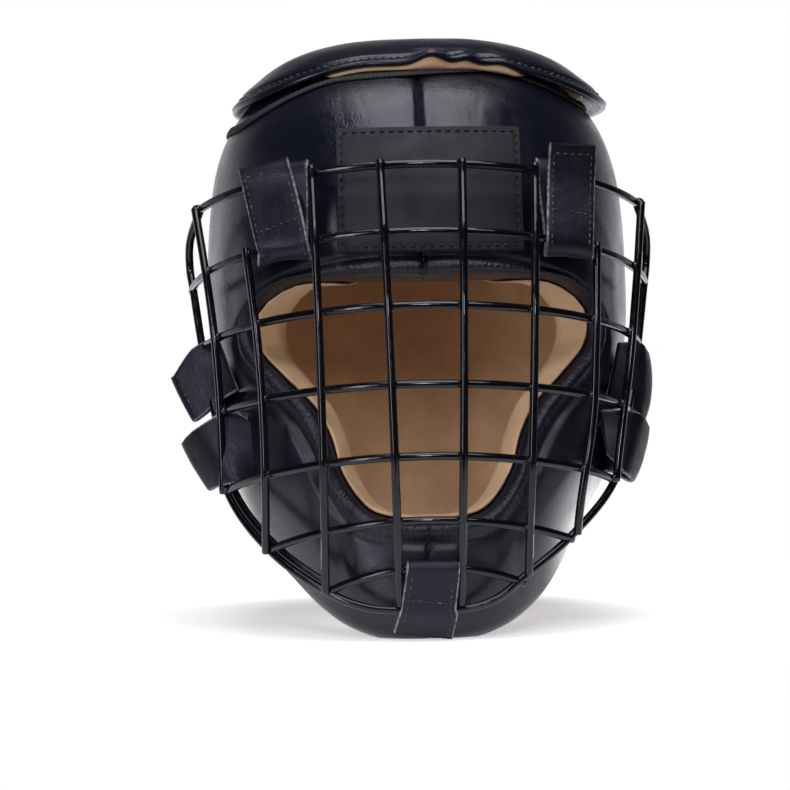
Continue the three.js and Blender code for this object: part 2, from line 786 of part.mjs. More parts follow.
// From the headguard out behind the side wire, round a wide fold and back in front of the wire
function sideStrap(row, side) {
  const sideWire = (z) => {
    const point = outerWire.getPoint(bisect((share) => outerWire.getPoint(share).z < z, 0.5, 1));
    return side === RIGHT ? point : mirrored(point);
  };
  const wire = sideWire(row.z);
  const across = sideWire(row.z + row.width / 3).sub(sideWire(row.z - row.width / 3)).normalize();
  const outward = new THREE.Vector3(side, 0, 0);
  outward.addScaledVector(across, -outward.dot(across)).normalize();
  const forward = across.clone().cross(outward).normalize();
  if (forward.y > 0) forward.negate();
  const radius = STRAP.foldRadius;
  const onShell = (ahead) => {
    const origin = wire.clone().addScaledVector(forward, ahead).addScaledVector(outward, -BODY.halfWidth / 2);
    return seatedStep(surfacePoint(origin, outward), across, row.width);
  };
  const free = (at) => ({ at, across, width: row.width });
  const turn = wire.clone().addScaledVector(outward, SIDE_FOLD - radius);
  return ribbon([
    onShell(-SIDE_ANCHOR.far),
    onShell(-SIDE_ANCHOR.near),
    free(wire.clone().addScaledVector(forward, -STRAP.wireRadius)),
    ...fold(turn, forward, outward, radius, 180, 0, FOLD_STEPS).map(free),
    free(wire.clone().addScaledVector(forward, STRAP.wireRadius)),
    onShell(row.tongue - SIDE_TONGUE),
    onShell(row.tongue),
  ]);
}

for (const [side, word] of [[LEFT, 'left'], [RIGHT, 'right']]) {
  addPiece(`strap_top_${word}`, topStrap(side), 'strapLeather');
  for (const row of SIDE_STRAPS) {
    addPiece(`strap_side_${row.name}_${word}`, sideStrap(row, side), 'strapLeather');
  }
}
addPiece('strap_chin', chinStrap(), 'strapLeather');

helmet.position.y = -MIDDLE_Y;

export default helmet;
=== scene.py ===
"""Looks of the full face sparring helmet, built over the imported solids.

Shapes are laid out in millimetres from the middle of the headguard, with the sizes of the part's
source, and to_frame() moves them into the row frame. Left is -X, as seen from the front.
"""

import math
from types import SimpleNamespace as Sizes

import bpy
import numpy as np
from mathutils import Matrix, Vector, noise


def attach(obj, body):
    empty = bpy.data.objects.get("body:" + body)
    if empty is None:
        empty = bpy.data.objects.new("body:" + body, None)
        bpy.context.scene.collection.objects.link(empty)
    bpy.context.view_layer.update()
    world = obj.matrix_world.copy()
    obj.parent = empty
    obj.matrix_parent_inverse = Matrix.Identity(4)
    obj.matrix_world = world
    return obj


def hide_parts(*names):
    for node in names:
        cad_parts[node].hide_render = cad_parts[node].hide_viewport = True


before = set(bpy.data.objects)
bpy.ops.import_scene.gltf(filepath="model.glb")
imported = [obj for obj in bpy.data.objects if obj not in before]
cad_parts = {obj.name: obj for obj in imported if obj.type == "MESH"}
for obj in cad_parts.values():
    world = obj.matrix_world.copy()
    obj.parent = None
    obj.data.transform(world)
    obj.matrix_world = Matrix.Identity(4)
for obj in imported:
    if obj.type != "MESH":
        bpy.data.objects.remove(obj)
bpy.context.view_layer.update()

# Sizes of the solids, in millimetres

MIDDLE_Y = -21.6
LEFT = -1
RIGHT = 1
BODY = Sizes(
    widest_z=165, top_z=284, half_width=106.5, front=120, back=108, lean=0.176,
    plan_power=2.3, dome_power=3.2,
    width_taper=0.45, least_width=0.05, front_taper=0.175, back_taper=0.12,
)
WALL_THICKNESS = 25
LINING = Sizes(thickness=1.5, clearance=0.9)
# The flat cuts of the cloth before it was stretched: sides in metres, areas in square metres
LINING_CUT = Sizes(flat=(0.56, 0.36), area=0.122)
CROWN_LINING_CUT = Sizes(flat=(0.17, 0.18), area=0.025)
RIM = Sizes(chin_z=-4, nape_z=-14, rise=50, power=3)

# The face opening's outline on the right half, from brow to chin: x, z
FACE_OUTLINE = (
    (0, 172.5), (45, 172.5), (70, 169), (86, 155), (85.5, 139), (72, 124),
    (57, 110), (49, 96), (43, 77), (30, 61), (13, 56.5), (0, 56),
)
# The padded edge of the face opening, from the lining to the outer leather: reach, depth
FACE_EDGE = ((13, 25), (5, 24), (0.5, 19.5), (-0.3, 13), (0, 7), (0.7, 3.6), (3.2, 1.1), (9, 0))
LEATHER_START = 4  # the row of FACE_EDGE where the leather takes over from the lining
FACE_CURVE_STEPS = 12
FAN = Sizes(centre=np.array((0, -61, 52.0)), axis_y=-0.625, axis_z=0.78)

CROWN = Sizes(
    centre=np.array((0, 18, 215.0)), clearance=1.4, lining=1.2, flange=3.4, flange_start=0.98, padding=8.6,
    lift_start=0.84, shift_x=3,
)
# The lines along which the pad and the tape end: level at the front, lower by drop at the sides and the
# back, and leaning to one side. They go down between two azimuths from the front, in degrees.
PAD_EDGE = Sizes(front_z=273.5, drop=18, start=18, end=72, lean=0)
TAPE_EDGE = Sizes(front_z=273.6, drop=17, start=25, end=65, lean=0.06)
PATCH = Sizes(middle_x=3.7, half_width=44, bottom_z=183, top_z=243, thickness=2)

WIRE_RADIUS = 2
WELD_OFFSET = 1.45
DOME_DEPTH = 120
# ends are the shares of half that a hoop reaches at the left and the right, tilt lifts its right end
HOOPS = (
    Sizes(level=225, apex_y=-128, half=120.6, rake=15, ends=(0.904, 0.904), tilt=0),
    Sizes(level=192.8, apex_y=-143, half=115.5, rake=14, ends=(0.994, 0.994), tilt=0),
    Sizes(level=158.2, apex_y=-153, half=111, rake=12, ends=(0.985, 0.985), tilt=0),
    Sizes(level=121.7, apex_y=-157, half=107.5, rake=11, ends=(0.957, 0.95), tilt=0),
    Sizes(level=88.4, apex_y=-156, half=106, rake=15, ends=(0.918, 0.876), tilt=0),
    Sizes(level=58.4, apex_y=-150, half=101, rake=22, ends=(0.752, 0.692), tilt=0),
    Sizes(level=36.2, apex_y=-144, half=90, rake=39, ends=(0.53, 0.508), tilt=1),
)
CAGE_FOOT = Sizes(level=16.8, apex_y=-138, half=98, rake=50)
# Each bar by the x of its top and foot, the bow of its middle, the kick of its foot, as bent by hand, and
# the levels of its top and foot
BARS = (
    Sizes(top_x=-109, foot_x=-96.5, bow=3.4, kick=0, top=225, foot=87),
    Sizes(top_x=-83.5, foot_x=-76, bow=3.2, kick=0, top=195, foot=57),
    Sizes(top_x=-52, foot_x=-48, bow=1, kick=0, top=227.5, foot=34.3),
    Sizes(top_x=-20, foot_x=-14, bow=0.3, kick=0, top=226.5, foot=17.2),
    Sizes(top_x=18.2, foot_x=14.3, bow=0, kick=0, top=226.5, foot=17.2),
    Sizes(top_x=52.8, foot_x=45.8, bow=0, kick=0, top=227.5, foot=39.5),
    Sizes(top_x=82.3, foot_x=75.5, bow=0.4, kick=-5.5, top=195, foot=60),
    Sizes(top_x=108.4, foot_x=93.2, bow=0, kick=-2.7, top=225, foot=87),
)
# The outer wire: the share of the dome's half width and the level of each point down a side, then the
# x and the level where it meets the feet of the bars. The right side is bent in at the bottom.
SIDE_WIRE = ((0.904, 225), (0.97, 214), (0.988, 203), (0.988, 192.8), (0.985, 158.2))
LOW_SIDE = {LEFT: ((0.957, 121.7), (0.918, 88.4)), RIGHT: ((0.95, 121.7), (0.876, 88.4))}
# The lap of the outer wire at the lower left, beside the wire itself
LAP = Sizes(from_x=-50, top_z=72, offset=np.array((2.2, -1.2, 2.9)))
OUTER_FEET = {
    LEFT: ((75, 57), (47, 34.3), (31, 22.3), (15, 17.2)),
    RIGHT: ((69.5, 60), (45.5, 39.5), (31, 24.8), (15, 17.2)),
}

STRAP_THICKNESS = 2.2
STRAP_SEAT = STRAP_THICKNESS / 2 + 0.8

# Small helpers

MM = 0.001
BISECT_STEPS = 40
UP = np.array((0, 0, 1.0))
FORWARD = np.array((0, -1.0, 0))


def to_frame(points):
    """Layout millimetres as metres in the row frame."""
    return (np.asarray(points, float) - (0, MIDDLE_Y, 0)) * MM


def unit(vectors):
    return vectors / np.linalg.norm(vectors, axis=-1, keepdims=True)


def smoothstep(low, high, value):
    share = np.clip((value - low) / (high - low), 0, 1)
    return share * share * (3 - 2 * share)


def bell(value, middle, spread):
    return np.exp(-(((value - middle) / spread) ** 2))


def wander(points, size, seed):
    """Smooth noise, about -1 to 1, with features of the given size in millimetres."""
    shift = Vector((seed * 17.3, seed * 5.1, seed * 9.7))
    flat = np.reshape(points, (-1, 3)) / np.asarray(size, float)
    values = np.array([noise.noise(Vector(p) + shift) for p in flat])
    return values.reshape(np.shape(points)[:-1])


def unevenness(points, rows, seed=0):
    """Smooth noise in layers, each with its height and the size of its features."""
    return sum(row.height * wander(points, row.size, row.seed + seed) for row in rows)


def bisect(is_before, low, high):
    for _ in range(BISECT_STEPS):
        middle = (low + high) / 2
        before = is_before(middle)
        low = np.where(before, middle, low)
        high = np.where(before, high, middle)
    return (low + high) / 2


def smooth_curve(points, steps, closed=False):
    """A centripetal curve through the points, with the given steps between neighbours."""
    points = np.asarray(points, float)
    if closed:
        line = np.vstack([points[-1:], points, points[:2]])
    else:
        line = np.vstack([2 * points[0] - points[1], points, 2 * points[-1] - points[-2]])
    share = np.linspace(0, 1, steps, endpoint=False)[:, None]
    spans = []
    for a, b, c, d in zip(line, line[1:], line[2:], line[3:]):
        before, here, after = (max(np.linalg.norm(v), 1e-6) ** 0.5 for v in (b - a, c - b, d - c))
        leave = here * ((b - a) / before - (c - a) / (before + here) + (c - b) / here)
        arrive = here * ((c - b) / here - (d - b) / (here + after) + (d - c) / after)
        spans.append(
            (2 * share**3 - 3 * share**2 + 1) * b
            + (share**3 - 2 * share**2 + share) * leave
            + (3 * share**2 - 2 * share**3) * c
            + (share**3 - share**2) * arrive
        )
    return np.vstack(spans if closed else [*spans, points[-1:]])


def lengths_along(points):
    steps = np.linalg.norm(np.diff(points, axis=0), axis=-1)
    return np.concatenate([[0], np.cumsum(steps)])


def table_at(wanted, known, table):
    """Rows of a table at the wanted places, between those at the known places."""
    return np.stack([np.interp(wanted, known, column) for column in table.T], axis=1)


def resample(points, spacing):
    """The same line with points at an even spacing."""
    lengths = lengths_along(points)
    count = max(2, int(round(lengths[-1] / spacing)) + 1)
    return table_at(np.linspace(0, lengths[-1], count), lengths, points)


class MeshParts:
    """Collects the points and faces of one piece, each face with the number of its material."""

    def __init__(self):
        self.points = []
        self.faces = []
        self.slots = []
        self.count = 0

    def add(self, points, faces, slot=0):
        points = np.reshape(points, (-1, 3))
        self.points.append(points)
        self.count += len(points)
        self.add_faces(faces, slot)

    def add_faces(self, faces, slot):
        """Faces between the points that were added last."""
        start = self.count - len(self.points[-1])
        self.faces += [tuple(int(i) + start for i in face) for face in faces]
        self.slots += [slot] * len(faces)

    def piece(self, name, materials, slot):
        mesh = bpy.data.meshes.new(name)
        mesh.from_pydata(to_frame(np.vstack(self.points)).tolist(), [], self.faces)
        for material in materials:
            mesh.materials.append(material)
        mesh.polygons.foreach_set("material_index", self.slots)
        mesh.polygons.foreach_set("use_smooth", [True] * len(self.faces))
        mesh.update()
        made = bpy.data.objects.new(name, mesh)
        bpy.context.scene.collection.objects.link(made)
        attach(made, "root")
        return made


def hold(piece, name, values):
    """Stores a value at each point of a piece, for its material to read."""
    layer = piece.data.attributes.new(name, "FLOAT", "POINT")
    layer.data.foreach_set("value", np.ravel(values))


def grid_faces(rows, columns, ring_rows=False, ring_columns=False):
    """Squares between neighbours in a grid of points, row after row."""
    index = np.arange(rows * columns).reshape(rows, columns)
    if ring_rows:
        index = np.vstack([index, index[:1]])
    if ring_columns:
        index = np.hstack([index, index[:, :1]])
    corners = (index[:-1, :-1], index[:-1, 1:], index[1:, 1:], index[1:, :-1])
    return np.stack([c.ravel() for c in corners], axis=1)


def outward(points, faces):
    """The faces, turned over if the closed skin they make faces inwards."""
    a, b, c, d = (points.reshape(-1, 3)[faces[:, k]] for k in range(4))
    volume = (a * np.cross(b, c)).sum() + (a * np.cross(c, d)).sum()
    return faces if volume > 0 else faces[:, ::-1]


def skin_piece(name, points, material, slot, ring_rows=False, ring_columns=False):
    """A piece with one closed skin, made of a grid of points."""
    parts = MeshParts()
    faces = grid_faces(*points.shape[:2], ring_rows, ring_columns)
    parts.add(points, outward(points, faces))
    return parts.piece(name, [material], slot)


def tube(path, across, other, radii, sides):
    """Rings of points round a path, placed by two directions across it."""
    around = np.arange(sides) * 2 * math.pi / sides
    ring = (np.cos(around)[None, :, None] * across[:, None, :]
            + np.sin(around)[None, :, None] * other[:, None, :])
    return path[:, None, :] + ring * radii[:, None, None]


def end_caps(rings, sides):
    """The faces that close both ends of a tube."""
    last = (rings - 1) * sides
    return [tuple(range(sides))[::-1], tuple(range(last, last + sides))]


# The headguard's outer form

def body_section(z):
    drop = np.maximum(0, (BODY.widest_z - z) / BODY.widest_z) ** 2
    return Sizes(
        centre_y=BODY.lean * (z - BODY.widest_z),
        half=BODY.half_width * np.maximum(1 - BODY.width_taper * drop, BODY.least_width),
        front=BODY.front * np.maximum(1 - BODY.front_taper * drop, BODY.least_width),
        back=BODY.back * np.maximum(1 - BODY.back_taper * drop, BODY.least_width),
    )


def body_field(points):
    """1 on the outer surface, less inside, more outside."""
    x, y, z = np.moveaxis(points, -1, 0)
    section = body_section(z)
    along = y - section.centre_y
    depth = np.where(along < 0, section.front, section.back)
    plan = (np.abs(x) / section.half) ** BODY.plan_power + (np.abs(along) / depth) ** BODY.plan_power
    rise = np.maximum(0, (z - BODY.widest_z) / (BODY.top_z - BODY.widest_z))
    across = plan ** (BODY.dome_power / BODY.plan_power)
    return (across + rise**BODY.dome_power) ** (1 / BODY.dome_power)


RAY_LENGTH = 400  # longer than any ray inside the body
SLOPE_STEP = 0.5  # the distance over which the surface's slope is taken


def surface_points(origin, directions):
    def at(distance):
        return origin + directions * distance[..., None]

    shape = directions.shape[:-1]
    reach = bisect(lambda d: body_field(at(d)) < 1, np.zeros(shape), np.full(shape, RAY_LENGTH))
    return at(reach)


def surface_normals(points):
    slopes = []
    for axis in np.eye(3) * SLOPE_STEP:
        slopes.append(body_field(points + axis) - body_field(points - axis))
    return unit(np.stack(slopes, axis=-1))


def raised(base, height):
    """Points of the outer surface, moved out by a height."""
    return base + surface_normals(base) * height


def face_polygon():
    right = list(FACE_OUTLINE)
    left = [(-x, z) for x, z in right[-2:0:-1]]
    return smooth_curve(right + left, FACE_CURVE_STEPS, closed=True)


FACE_POLYGON = face_polygon()


def is_in_face(points):
    x, y, z = (points[..., k, None] for k in range(3))
    ax, az = FACE_POLYGON.T
    bx, bz = np.roll(FACE_POLYGON, 1, axis=0).T
    with np.errstate(divide="ignore", invalid="ignore"):
        crossing = (az > z) != (bz > z)
        crossing &= x < (bx - ax) * (z - az) / (bz - az) + ax
    return (crossing.sum(-1) % 2 == 1) & (y[..., 0] < FAN.centre[1])


def is_above_rim(points):
    x, y, z = np.moveaxis(points, -1, 0)
    azimuth = np.arctan2(x, -(y - body_section(z).centre_y))
    low = RIM.chin_z + (RIM.nape_z - RIM.chin_z) * (1 - np.cos(azimuth)) / 2
    return z > low + RIM.rise * np.abs(np.sin(azimuth)) ** RIM.power


SCAN = Sizes(step=math.radians(3), margin=math.radians(4), points=121)


class Wall:
    """The headguard's wall as a fan of sections, one for each turn from the brow to the chin.
    Points are placed by their reach along the outer surface from the face outline and by their
    depth below it."""

    def __init__(self, turns):
        self.turns = turns
        self.axis = unit(np.array((0, FAN.axis_y, FAN.axis_z)))
        self.up = unit(np.array((0, FAN.axis_z, -FAN.axis_y)))
        face = np.full(len(turns), SCAN.step)
        while (inside := is_in_face(self.hits(face))).any():
            face[inside] += SCAN.step
        face = bisect(lambda s: is_in_face(self.hits(s)), face - SCAN.step, face)
        rim = np.full(len(turns), math.pi - SCAN.step)
        while (outside := ~is_above_rim(self.hits(rim))).any():
            rim[outside] -= SCAN.step
        rim = bisect(lambda s: is_above_rim(self.hits(s)), rim, rim + SCAN.step)
        share = np.linspace(0, 1, SCAN.points)
        self.spreads = (face - SCAN.margin)[:, None] + (rim - face + 2 * SCAN.margin)[:, None] * share
        line = self.hits(self.spreads)
        steps = np.linalg.norm(np.diff(line, axis=1), axis=-1)
        self.reaches = np.hstack([np.zeros((len(turns), 1)), np.cumsum(steps, axis=1)])
        start = self._look_up(face[:, None], self.spreads, self.reaches)
        end = self._look_up(rim[:, None], self.spreads, self.reaches)
        self.reaches = self.reaches - start
        self.length = (end - start)[:, 0]

    def hits(self, spreads):
        """Points of the outer surface, by their angles from the fan's axis in each section."""
        shape = (-1,) + (1,) * (np.ndim(spreads) - 1)
        turns = self.turns.reshape(shape)[..., None]
        sideways = np.cos(turns) * self.up + np.sin(turns) * np.array((1, 0, 0))
        spreads = spreads[..., None]
        return surface_points(FAN.centre, np.cos(spreads) * self.axis + np.sin(spreads) * sideways)

    @staticmethod
    def _look_up(values, known, wanted):
        return np.array([np.interp(v, k, w) for v, k, w in zip(values, known, wanted)])

    def outer(self, reach):
        """Points of the outer surface by their reach in each section, and their normals."""
        points = self.hits(self._look_up(reach, self.reaches, self.spreads))
        return points, surface_normals(points)


def rim_roll(length, angles):
    """The rolled lower edge, from the outer surface at angle 0 to the lining at half a turn."""
    radius = WALL_THICKNESS / 2
    reach = length[:, None] - radius + radius * np.sin(angles)
    return reach, np.broadcast_to(radius - radius * np.cos(angles), reach.shape)


# Materials

class Nodes:
    """A node tree, and short calls that add nodes to it."""

    def __init__(self, tree):
        self.tree = tree

    def add(self, kind, **values):
        node = self.tree.nodes.new(kind)
        for key, value in values.items():
            if hasattr(node, key):
                setattr(node, key, value)
            else:
                node.inputs[key.replace("_", " ")].default_value = value
        return node

    def link(self, source, target):
        self.tree.links.new(source, target)

    def ramp(self, source, low, high, from_value=0, to_value=1):
        node = self.add("ShaderNodeMapRange", interpolation_type="SMOOTHSTEP", From_Min=low, From_Max=high,
                        To_Min=from_value, To_Max=to_value)
        self.link(source, node.inputs["Value"])
        return node.outputs["Result"]

    def math(self, operation, first, second):
        node = self.add("ShaderNodeMath", operation=operation)
        for source, socket in ((first, node.inputs[0]), (second, node.inputs[1])):
            if isinstance(source, (int, float)):
                socket.default_value = source
            else:
                self.link(source, socket)
        return node.outputs["Value"]

    def reach(self, place, towards):
        """How far a place lies towards a direction."""
        node = self.add("ShaderNodeVectorMath", operation="DOT_PRODUCT")
        node.inputs[1].default_value = towards
        self.link(place, node.inputs[0])
        return node.outputs["Value"]


class Finish(Nodes):
    """A material with a Principled shader."""

    def __init__(self, name, colour, roughness, **sockets):
        self.material = bpy.data.materials.new(name)
        self.material.use_nodes = True
        super().__init__(self.material.node_tree)
        self.shader = self.tree.nodes["Principled BSDF"]
        self.shader.inputs["Base Color"].default_value = (*colour, 1)
        self.shader.inputs["Roughness"].default_value = roughness
        for socket, value in sockets.items():
            self.shader.inputs[socket.replace("_", " ")].default_value = value
        self.place = self.add("ShaderNodeTexCoord").outputs["Object"]

    def noise(self, size, detail=3, rough=0.5, stretch=None):
        """Noise with features of about the given size in millimetres."""
        node = self.add("ShaderNodeTexNoise", Scale=1 / (size * MM), Detail=detail, Roughness=rough)
        self.link(self.stretched(stretch), node.inputs["Vector"])
        return node.outputs["Fac"]

    def cells(self, size, swirl, stretch=None):
        """The distance to the edge of irregular cells, bent by the swirl."""
        place = self.stretched(stretch)
        bend = self.add("ShaderNodeTexNoise", Scale=0.6 / (size * MM), Detail=2)
        self.link(place, bend.inputs["Vector"])
        mixed = self.add("ShaderNodeVectorMath", operation="MULTIPLY_ADD")
        mixed.inputs[1].default_value = (swirl * size * MM,) * 3
        self.link(bend.outputs["Color"], mixed.inputs[0])
        self.link(place, mixed.inputs[2])
        node = self.add("ShaderNodeTexVoronoi", feature="DISTANCE_TO_EDGE", Scale=1 / (size * MM))
        self.link(mixed.outputs["Vector"], node.inputs["Vector"])
        return node.outputs["Distance"]

    def held(self, name):
        """A value that the mesh holds at each of its points, or 0 where it holds none."""
        return self.add("ShaderNodeAttribute", attribute_name=name).outputs["Fac"]

    def creases(self, width, length):
        """Noise drawn out across the edge of the face opening, with its grain in millimetres."""
        place = self.add("ShaderNodeCombineXYZ")
        self.link(self.math("DIVIDE", self.held("along_edge"), width), place.inputs["X"])
        self.link(self.math("DIVIDE", self.held("from_edge"), length), place.inputs["Y"])
        node = self.add("ShaderNodeTexNoise", Scale=1, Detail=2)
        self.link(place.outputs["Vector"], node.inputs["Vector"])
        return node.outputs["Fac"]

    def stretched(self, scale):
        if scale is None:
            return self.place
        node = self.add("ShaderNodeMapping")
        node.inputs["Scale"].default_value = scale
        self.link(self.place, node.inputs["Vector"])
        return node.outputs["Vector"]

    def mix_colour(self, factor, first, second):
        node = self.add("ShaderNodeMix", data_type="RGBA")
        self.link(factor, node.inputs["Factor"])
        colour_sockets = [s for s in node.inputs if s.type == "RGBA"]
        for colour, socket in zip((first, second), colour_sockets):
            socket.default_value = (*colour, 1)
        return next(s for s in node.outputs if s.type == "RGBA")

    def two_tone(self, source, low, high, first, second):
        """Colours the surface from first to second as the source goes from low to high."""
        self.set("Base Color", self.mix_colour(self.ramp(source, low, high), first, second))

    def bump(self, *layers):
        """Stacks bump layers, each a height source with its depth in millimetres."""
        normal = None
        for source, depth in layers:
            node = self.add("ShaderNodeBump", Strength=1, Distance=depth * MM)
            self.link(source, node.inputs["Height"])
            if normal is not None:
                self.link(normal, node.inputs["Normal"])
            normal = node.outputs["Normal"]
        self.link(normal, self.shader.inputs["Normal"])

    def set(self, socket, source):
        self.link(source, self.shader.inputs[socket])


def leather_finish():
    finish = Finish("black_leather", (0.005, 0.0055, 0.009), 0.3, Specular_IOR_Level=0.5,
                    Specular_Tint=(0.86, 0.86, 1, 1))
    pores = finish.cells(0.9, swirl=0.6)
    wrinkles = finish.cells(3.2, swirl=1.6, stretch=(1, 1, 0.6))
    patches = finish.ramp(finish.noise(34, detail=2), 0.42, 0.62)
    near_edge = finish.held("near_edge")
    patches = finish.math("MULTIPLY", patches, finish.math("SUBTRACT", 1, near_edge))
    crinkle = finish.math("MULTIPLY", finish.ramp(wrinkles, 0, 0.2), patches)
    finish.bump(
        (finish.noise(22, detail=2), 0.12),
        (finish.math("MULTIPLY", finish.creases(1.4, 9), finish.held("on_roll")), 0.7),
        (crinkle, 0.045),
        (finish.ramp(pores, 0, 0.3), 0.018),
        (finish.noise(0.45, detail=2), 0.012),
    )
    uneven = finish.ramp(finish.noise(18, detail=5), 0.3, 0.7, 0.2, 0.31)
    finish.set("Roughness", finish.math("ADD", uneven, finish.math("MULTIPLY", near_edge, 0.14)))
    finish.two_tone(finish.noise(40, detail=4), 0.35, 0.7, (0.0042, 0.005, 0.0115), (0.007, 0.0078, 0.016))
    return finish.material


def strap_finish():
    finish = Finish("strap_leather", (0.012, 0.012, 0.016), 0.5, Specular_IOR_Level=0.36,
                    Specular_Tint=(0.78, 0.73, 1, 1))
    pores = finish.cells(0.9, swirl=0.6)
    finish.bump(
        (finish.noise(6, detail=2, stretch=(1, 1, 0.35)), 0.17),
        (finish.noise(1.1, detail=3, stretch=(1, 1, 0.22)), 0.085),
        (finish.ramp(pores, 0, 0.3), 0.035),
        (finish.noise(0.4, detail=2), 0.02),
    )
    scuffs = finish.noise(1.4, detail=6, rough=0.75, stretch=(1, 1, 0.4))
    finish.two_tone(scuffs, 0.6, 0.78, (0.005, 0.0049, 0.0095), (0.017, 0.016, 0.023))
    finish.set("Roughness", finish.ramp(finish.noise(9, detail=5), 0.3, 0.7, 0.32, 0.48))
    return finish.material


def raw_edge_finish():
    finish = Finish("raw_leather_edge", (0.06, 0.055, 0.055), 0.75)
    # Lighter grey in patches: partly the worn cut edge, partly a painted highlight of light catching the
    # edges
    worn = finish.noise(2.2, detail=6, rough=0.8)
    finish.two_tone(worn, 0.4, 0.62, (0.05, 0.05, 0.056), (0.3, 0.29, 0.3))
    finish.bump((finish.noise(0.6, detail=4), 0.12))
    return finish.material


def lining_finish():
    finish = Finish("tan_lining", (0.46, 0.29, 0.16), 0.8, Specular_IOR_Level=0.3)
    finish.two_tone(finish.noise(22, detail=5), 0.3, 0.7, (0.56, 0.36, 0.215), (0.68, 0.46, 0.285))
    finish.bump((finish.noise(9, detail=3), 0.35), (finish.noise(0.55, detail=3), 0.06))
    return finish.material


def binding_finish():
    finish = Finish("binding_tape", (0.02, 0.02, 0.024), 0.75)
    fibres = finish.noise(0.5, detail=4, rough=0.7)
    finish.two_tone(fibres, 0.35, 0.7, (0.005, 0.005, 0.007), (0.016, 0.016, 0.02))
    finish.bump((fibres, 0.1))
    return finish.material


def patch_finish():
    finish = Finish("patch_rubber", (0.012, 0.012, 0.015), 0.62, Specular_IOR_Level=0.3)
    finish.two_tone(finish.noise(30, detail=4), 0.3, 0.75, (0.01, 0.0105, 0.0155), (0.0145, 0.015, 0.0215))
    finish.bump((finish.noise(0.35, detail=3, rough=0.6), 0.03))
    finish.set("Roughness", finish.ramp(finish.noise(12, detail=5), 0.3, 0.7, 0.56, 0.7))
    return finish.material


def wire_finish():
    finish = Finish("coated_wire", (0.006, 0.006, 0.007), 0.22, Specular_IOR_Level=0.5,
                    Specular_Tint=(0.86, 0.86, 1, 1))
    finish.bump((finish.noise(9, detail=2), 0.12), (finish.noise(1.4, detail=3), 0.012))
    finish.set("Roughness", finish.ramp(finish.noise(5, detail=5), 0.35, 0.7, 0.1, 0.2))
    dust = finish.noise(3, detail=6, rough=0.7)
    finish.two_tone(dust, 0.62, 0.8, (0.0035, 0.0036, 0.005), (0.014, 0.014, 0.016))
    return finish.material


def thread_finish(name, colour, worn):
    finish = Finish(name, colour, 0.7)
    finish.two_tone(finish.noise(2.5, detail=4), 0.45, 0.65, colour, worn)
    finish.bump((finish.noise(0.3, detail=3), 0.06))
    return finish.material


LEATHER = leather_finish()
STRAP_LEATHER = strap_finish()
RAW_EDGE = raw_edge_finish()
TAN = lining_finish()
BINDING_TAPE = binding_finish()
RUBBER = patch_finish()
WIRE = wire_finish()
BLACK_THREAD = thread_finish("black_thread", (0.006, 0.006, 0.008), (0.012, 0.012, 0.014))
GREY_THREAD = thread_finish("worn_thread", (0.022, 0.022, 0.027), (0.1, 0.097, 0.105))

# Stitches

STITCH_SIDES = 6
# A stitch from end to end, in shares of its length, of how far it stands out and of its radius
STITCH_PLACES = np.array((0, 0.12, 0.5, 0.88, 1.0))
STITCH_RISES = np.array((-0.55, 0.1, 1, 0.1, -0.55))
STITCH_RADII = np.array((0.55, 0.95, 1.1, 0.95, 0.55))
STITCH_PROUD = 0.25  # extra height of the middle of a stitch
STITCH_SINK = 0.2  # the share of its radius by which a stitch is bedded in


def add_stitches(parts, path, normals, length=2.6, gap=1.1, radius=0.42, slot=0):
    """A row of stitches along a path on a surface. Each is a short thread that dips in at both
    ends."""
    spaced = lengths_along(path)
    count = max(1, int(spaced[-1] / (length + gap)))
    pitch = spaced[-1] / count
    rise = STITCH_RISES * (radius + STITCH_PROUD) - radius * STITCH_SINK
    rings = len(STITCH_PLACES)
    faces = [*grid_faces(rings, STITCH_SIDES, ring_columns=True), *end_caps(rings, STITCH_SIDES)]
    for number in range(count):
        where = number * pitch + (pitch - length) / 2 + STITCH_PLACES * length
        line = table_at(where, spaced, path)
        out = unit(table_at(where, spaced, normals))
        side = unit(np.cross(out, unit(line[-1] - line[0])))
        line = line + out * rise[:, None]
        parts.add(tube(line, side, out, STITCH_RADII * radius, STITCH_SIDES), faces, slot)


# Headguard

HALF_TURNS = 330
EDGE_STEPS = 6
RUN_STEPS = 120
RUN_CROWDING = 1.35  # above 1, points of the outer run crowd towards the face opening
INNER_STEPS = 26
ROLL_STEPS = 14
SEAM_TURN = math.radians(0.25)
SEAM_GAP = 0.1  # how far each half stays from the middle plane
# The lower part of the shell sits to the left: how far, below which height on each side, over what fall,
# and from which distance to the middle
ASKEW = Sizes(shift=4.6, left_z=105, right_z=82, fall=40, distance=(55, 88))
# The side seam's distance behind the middle of the section, and its stitches
SIDE_SEAM = Sizes(behind=28, low_z=62, high_z=246, stitch_offset=4.2, points=120)
CHIN_SEAM = 0.6  # how much flatter the centre seam is at the chin
# The cheek pad's upper seam: its height, and how fast it falls beyond a distance from the middle
CHEEK = Sizes(seam_z=121, level_to=55, fall=0.0042, height=3.2)
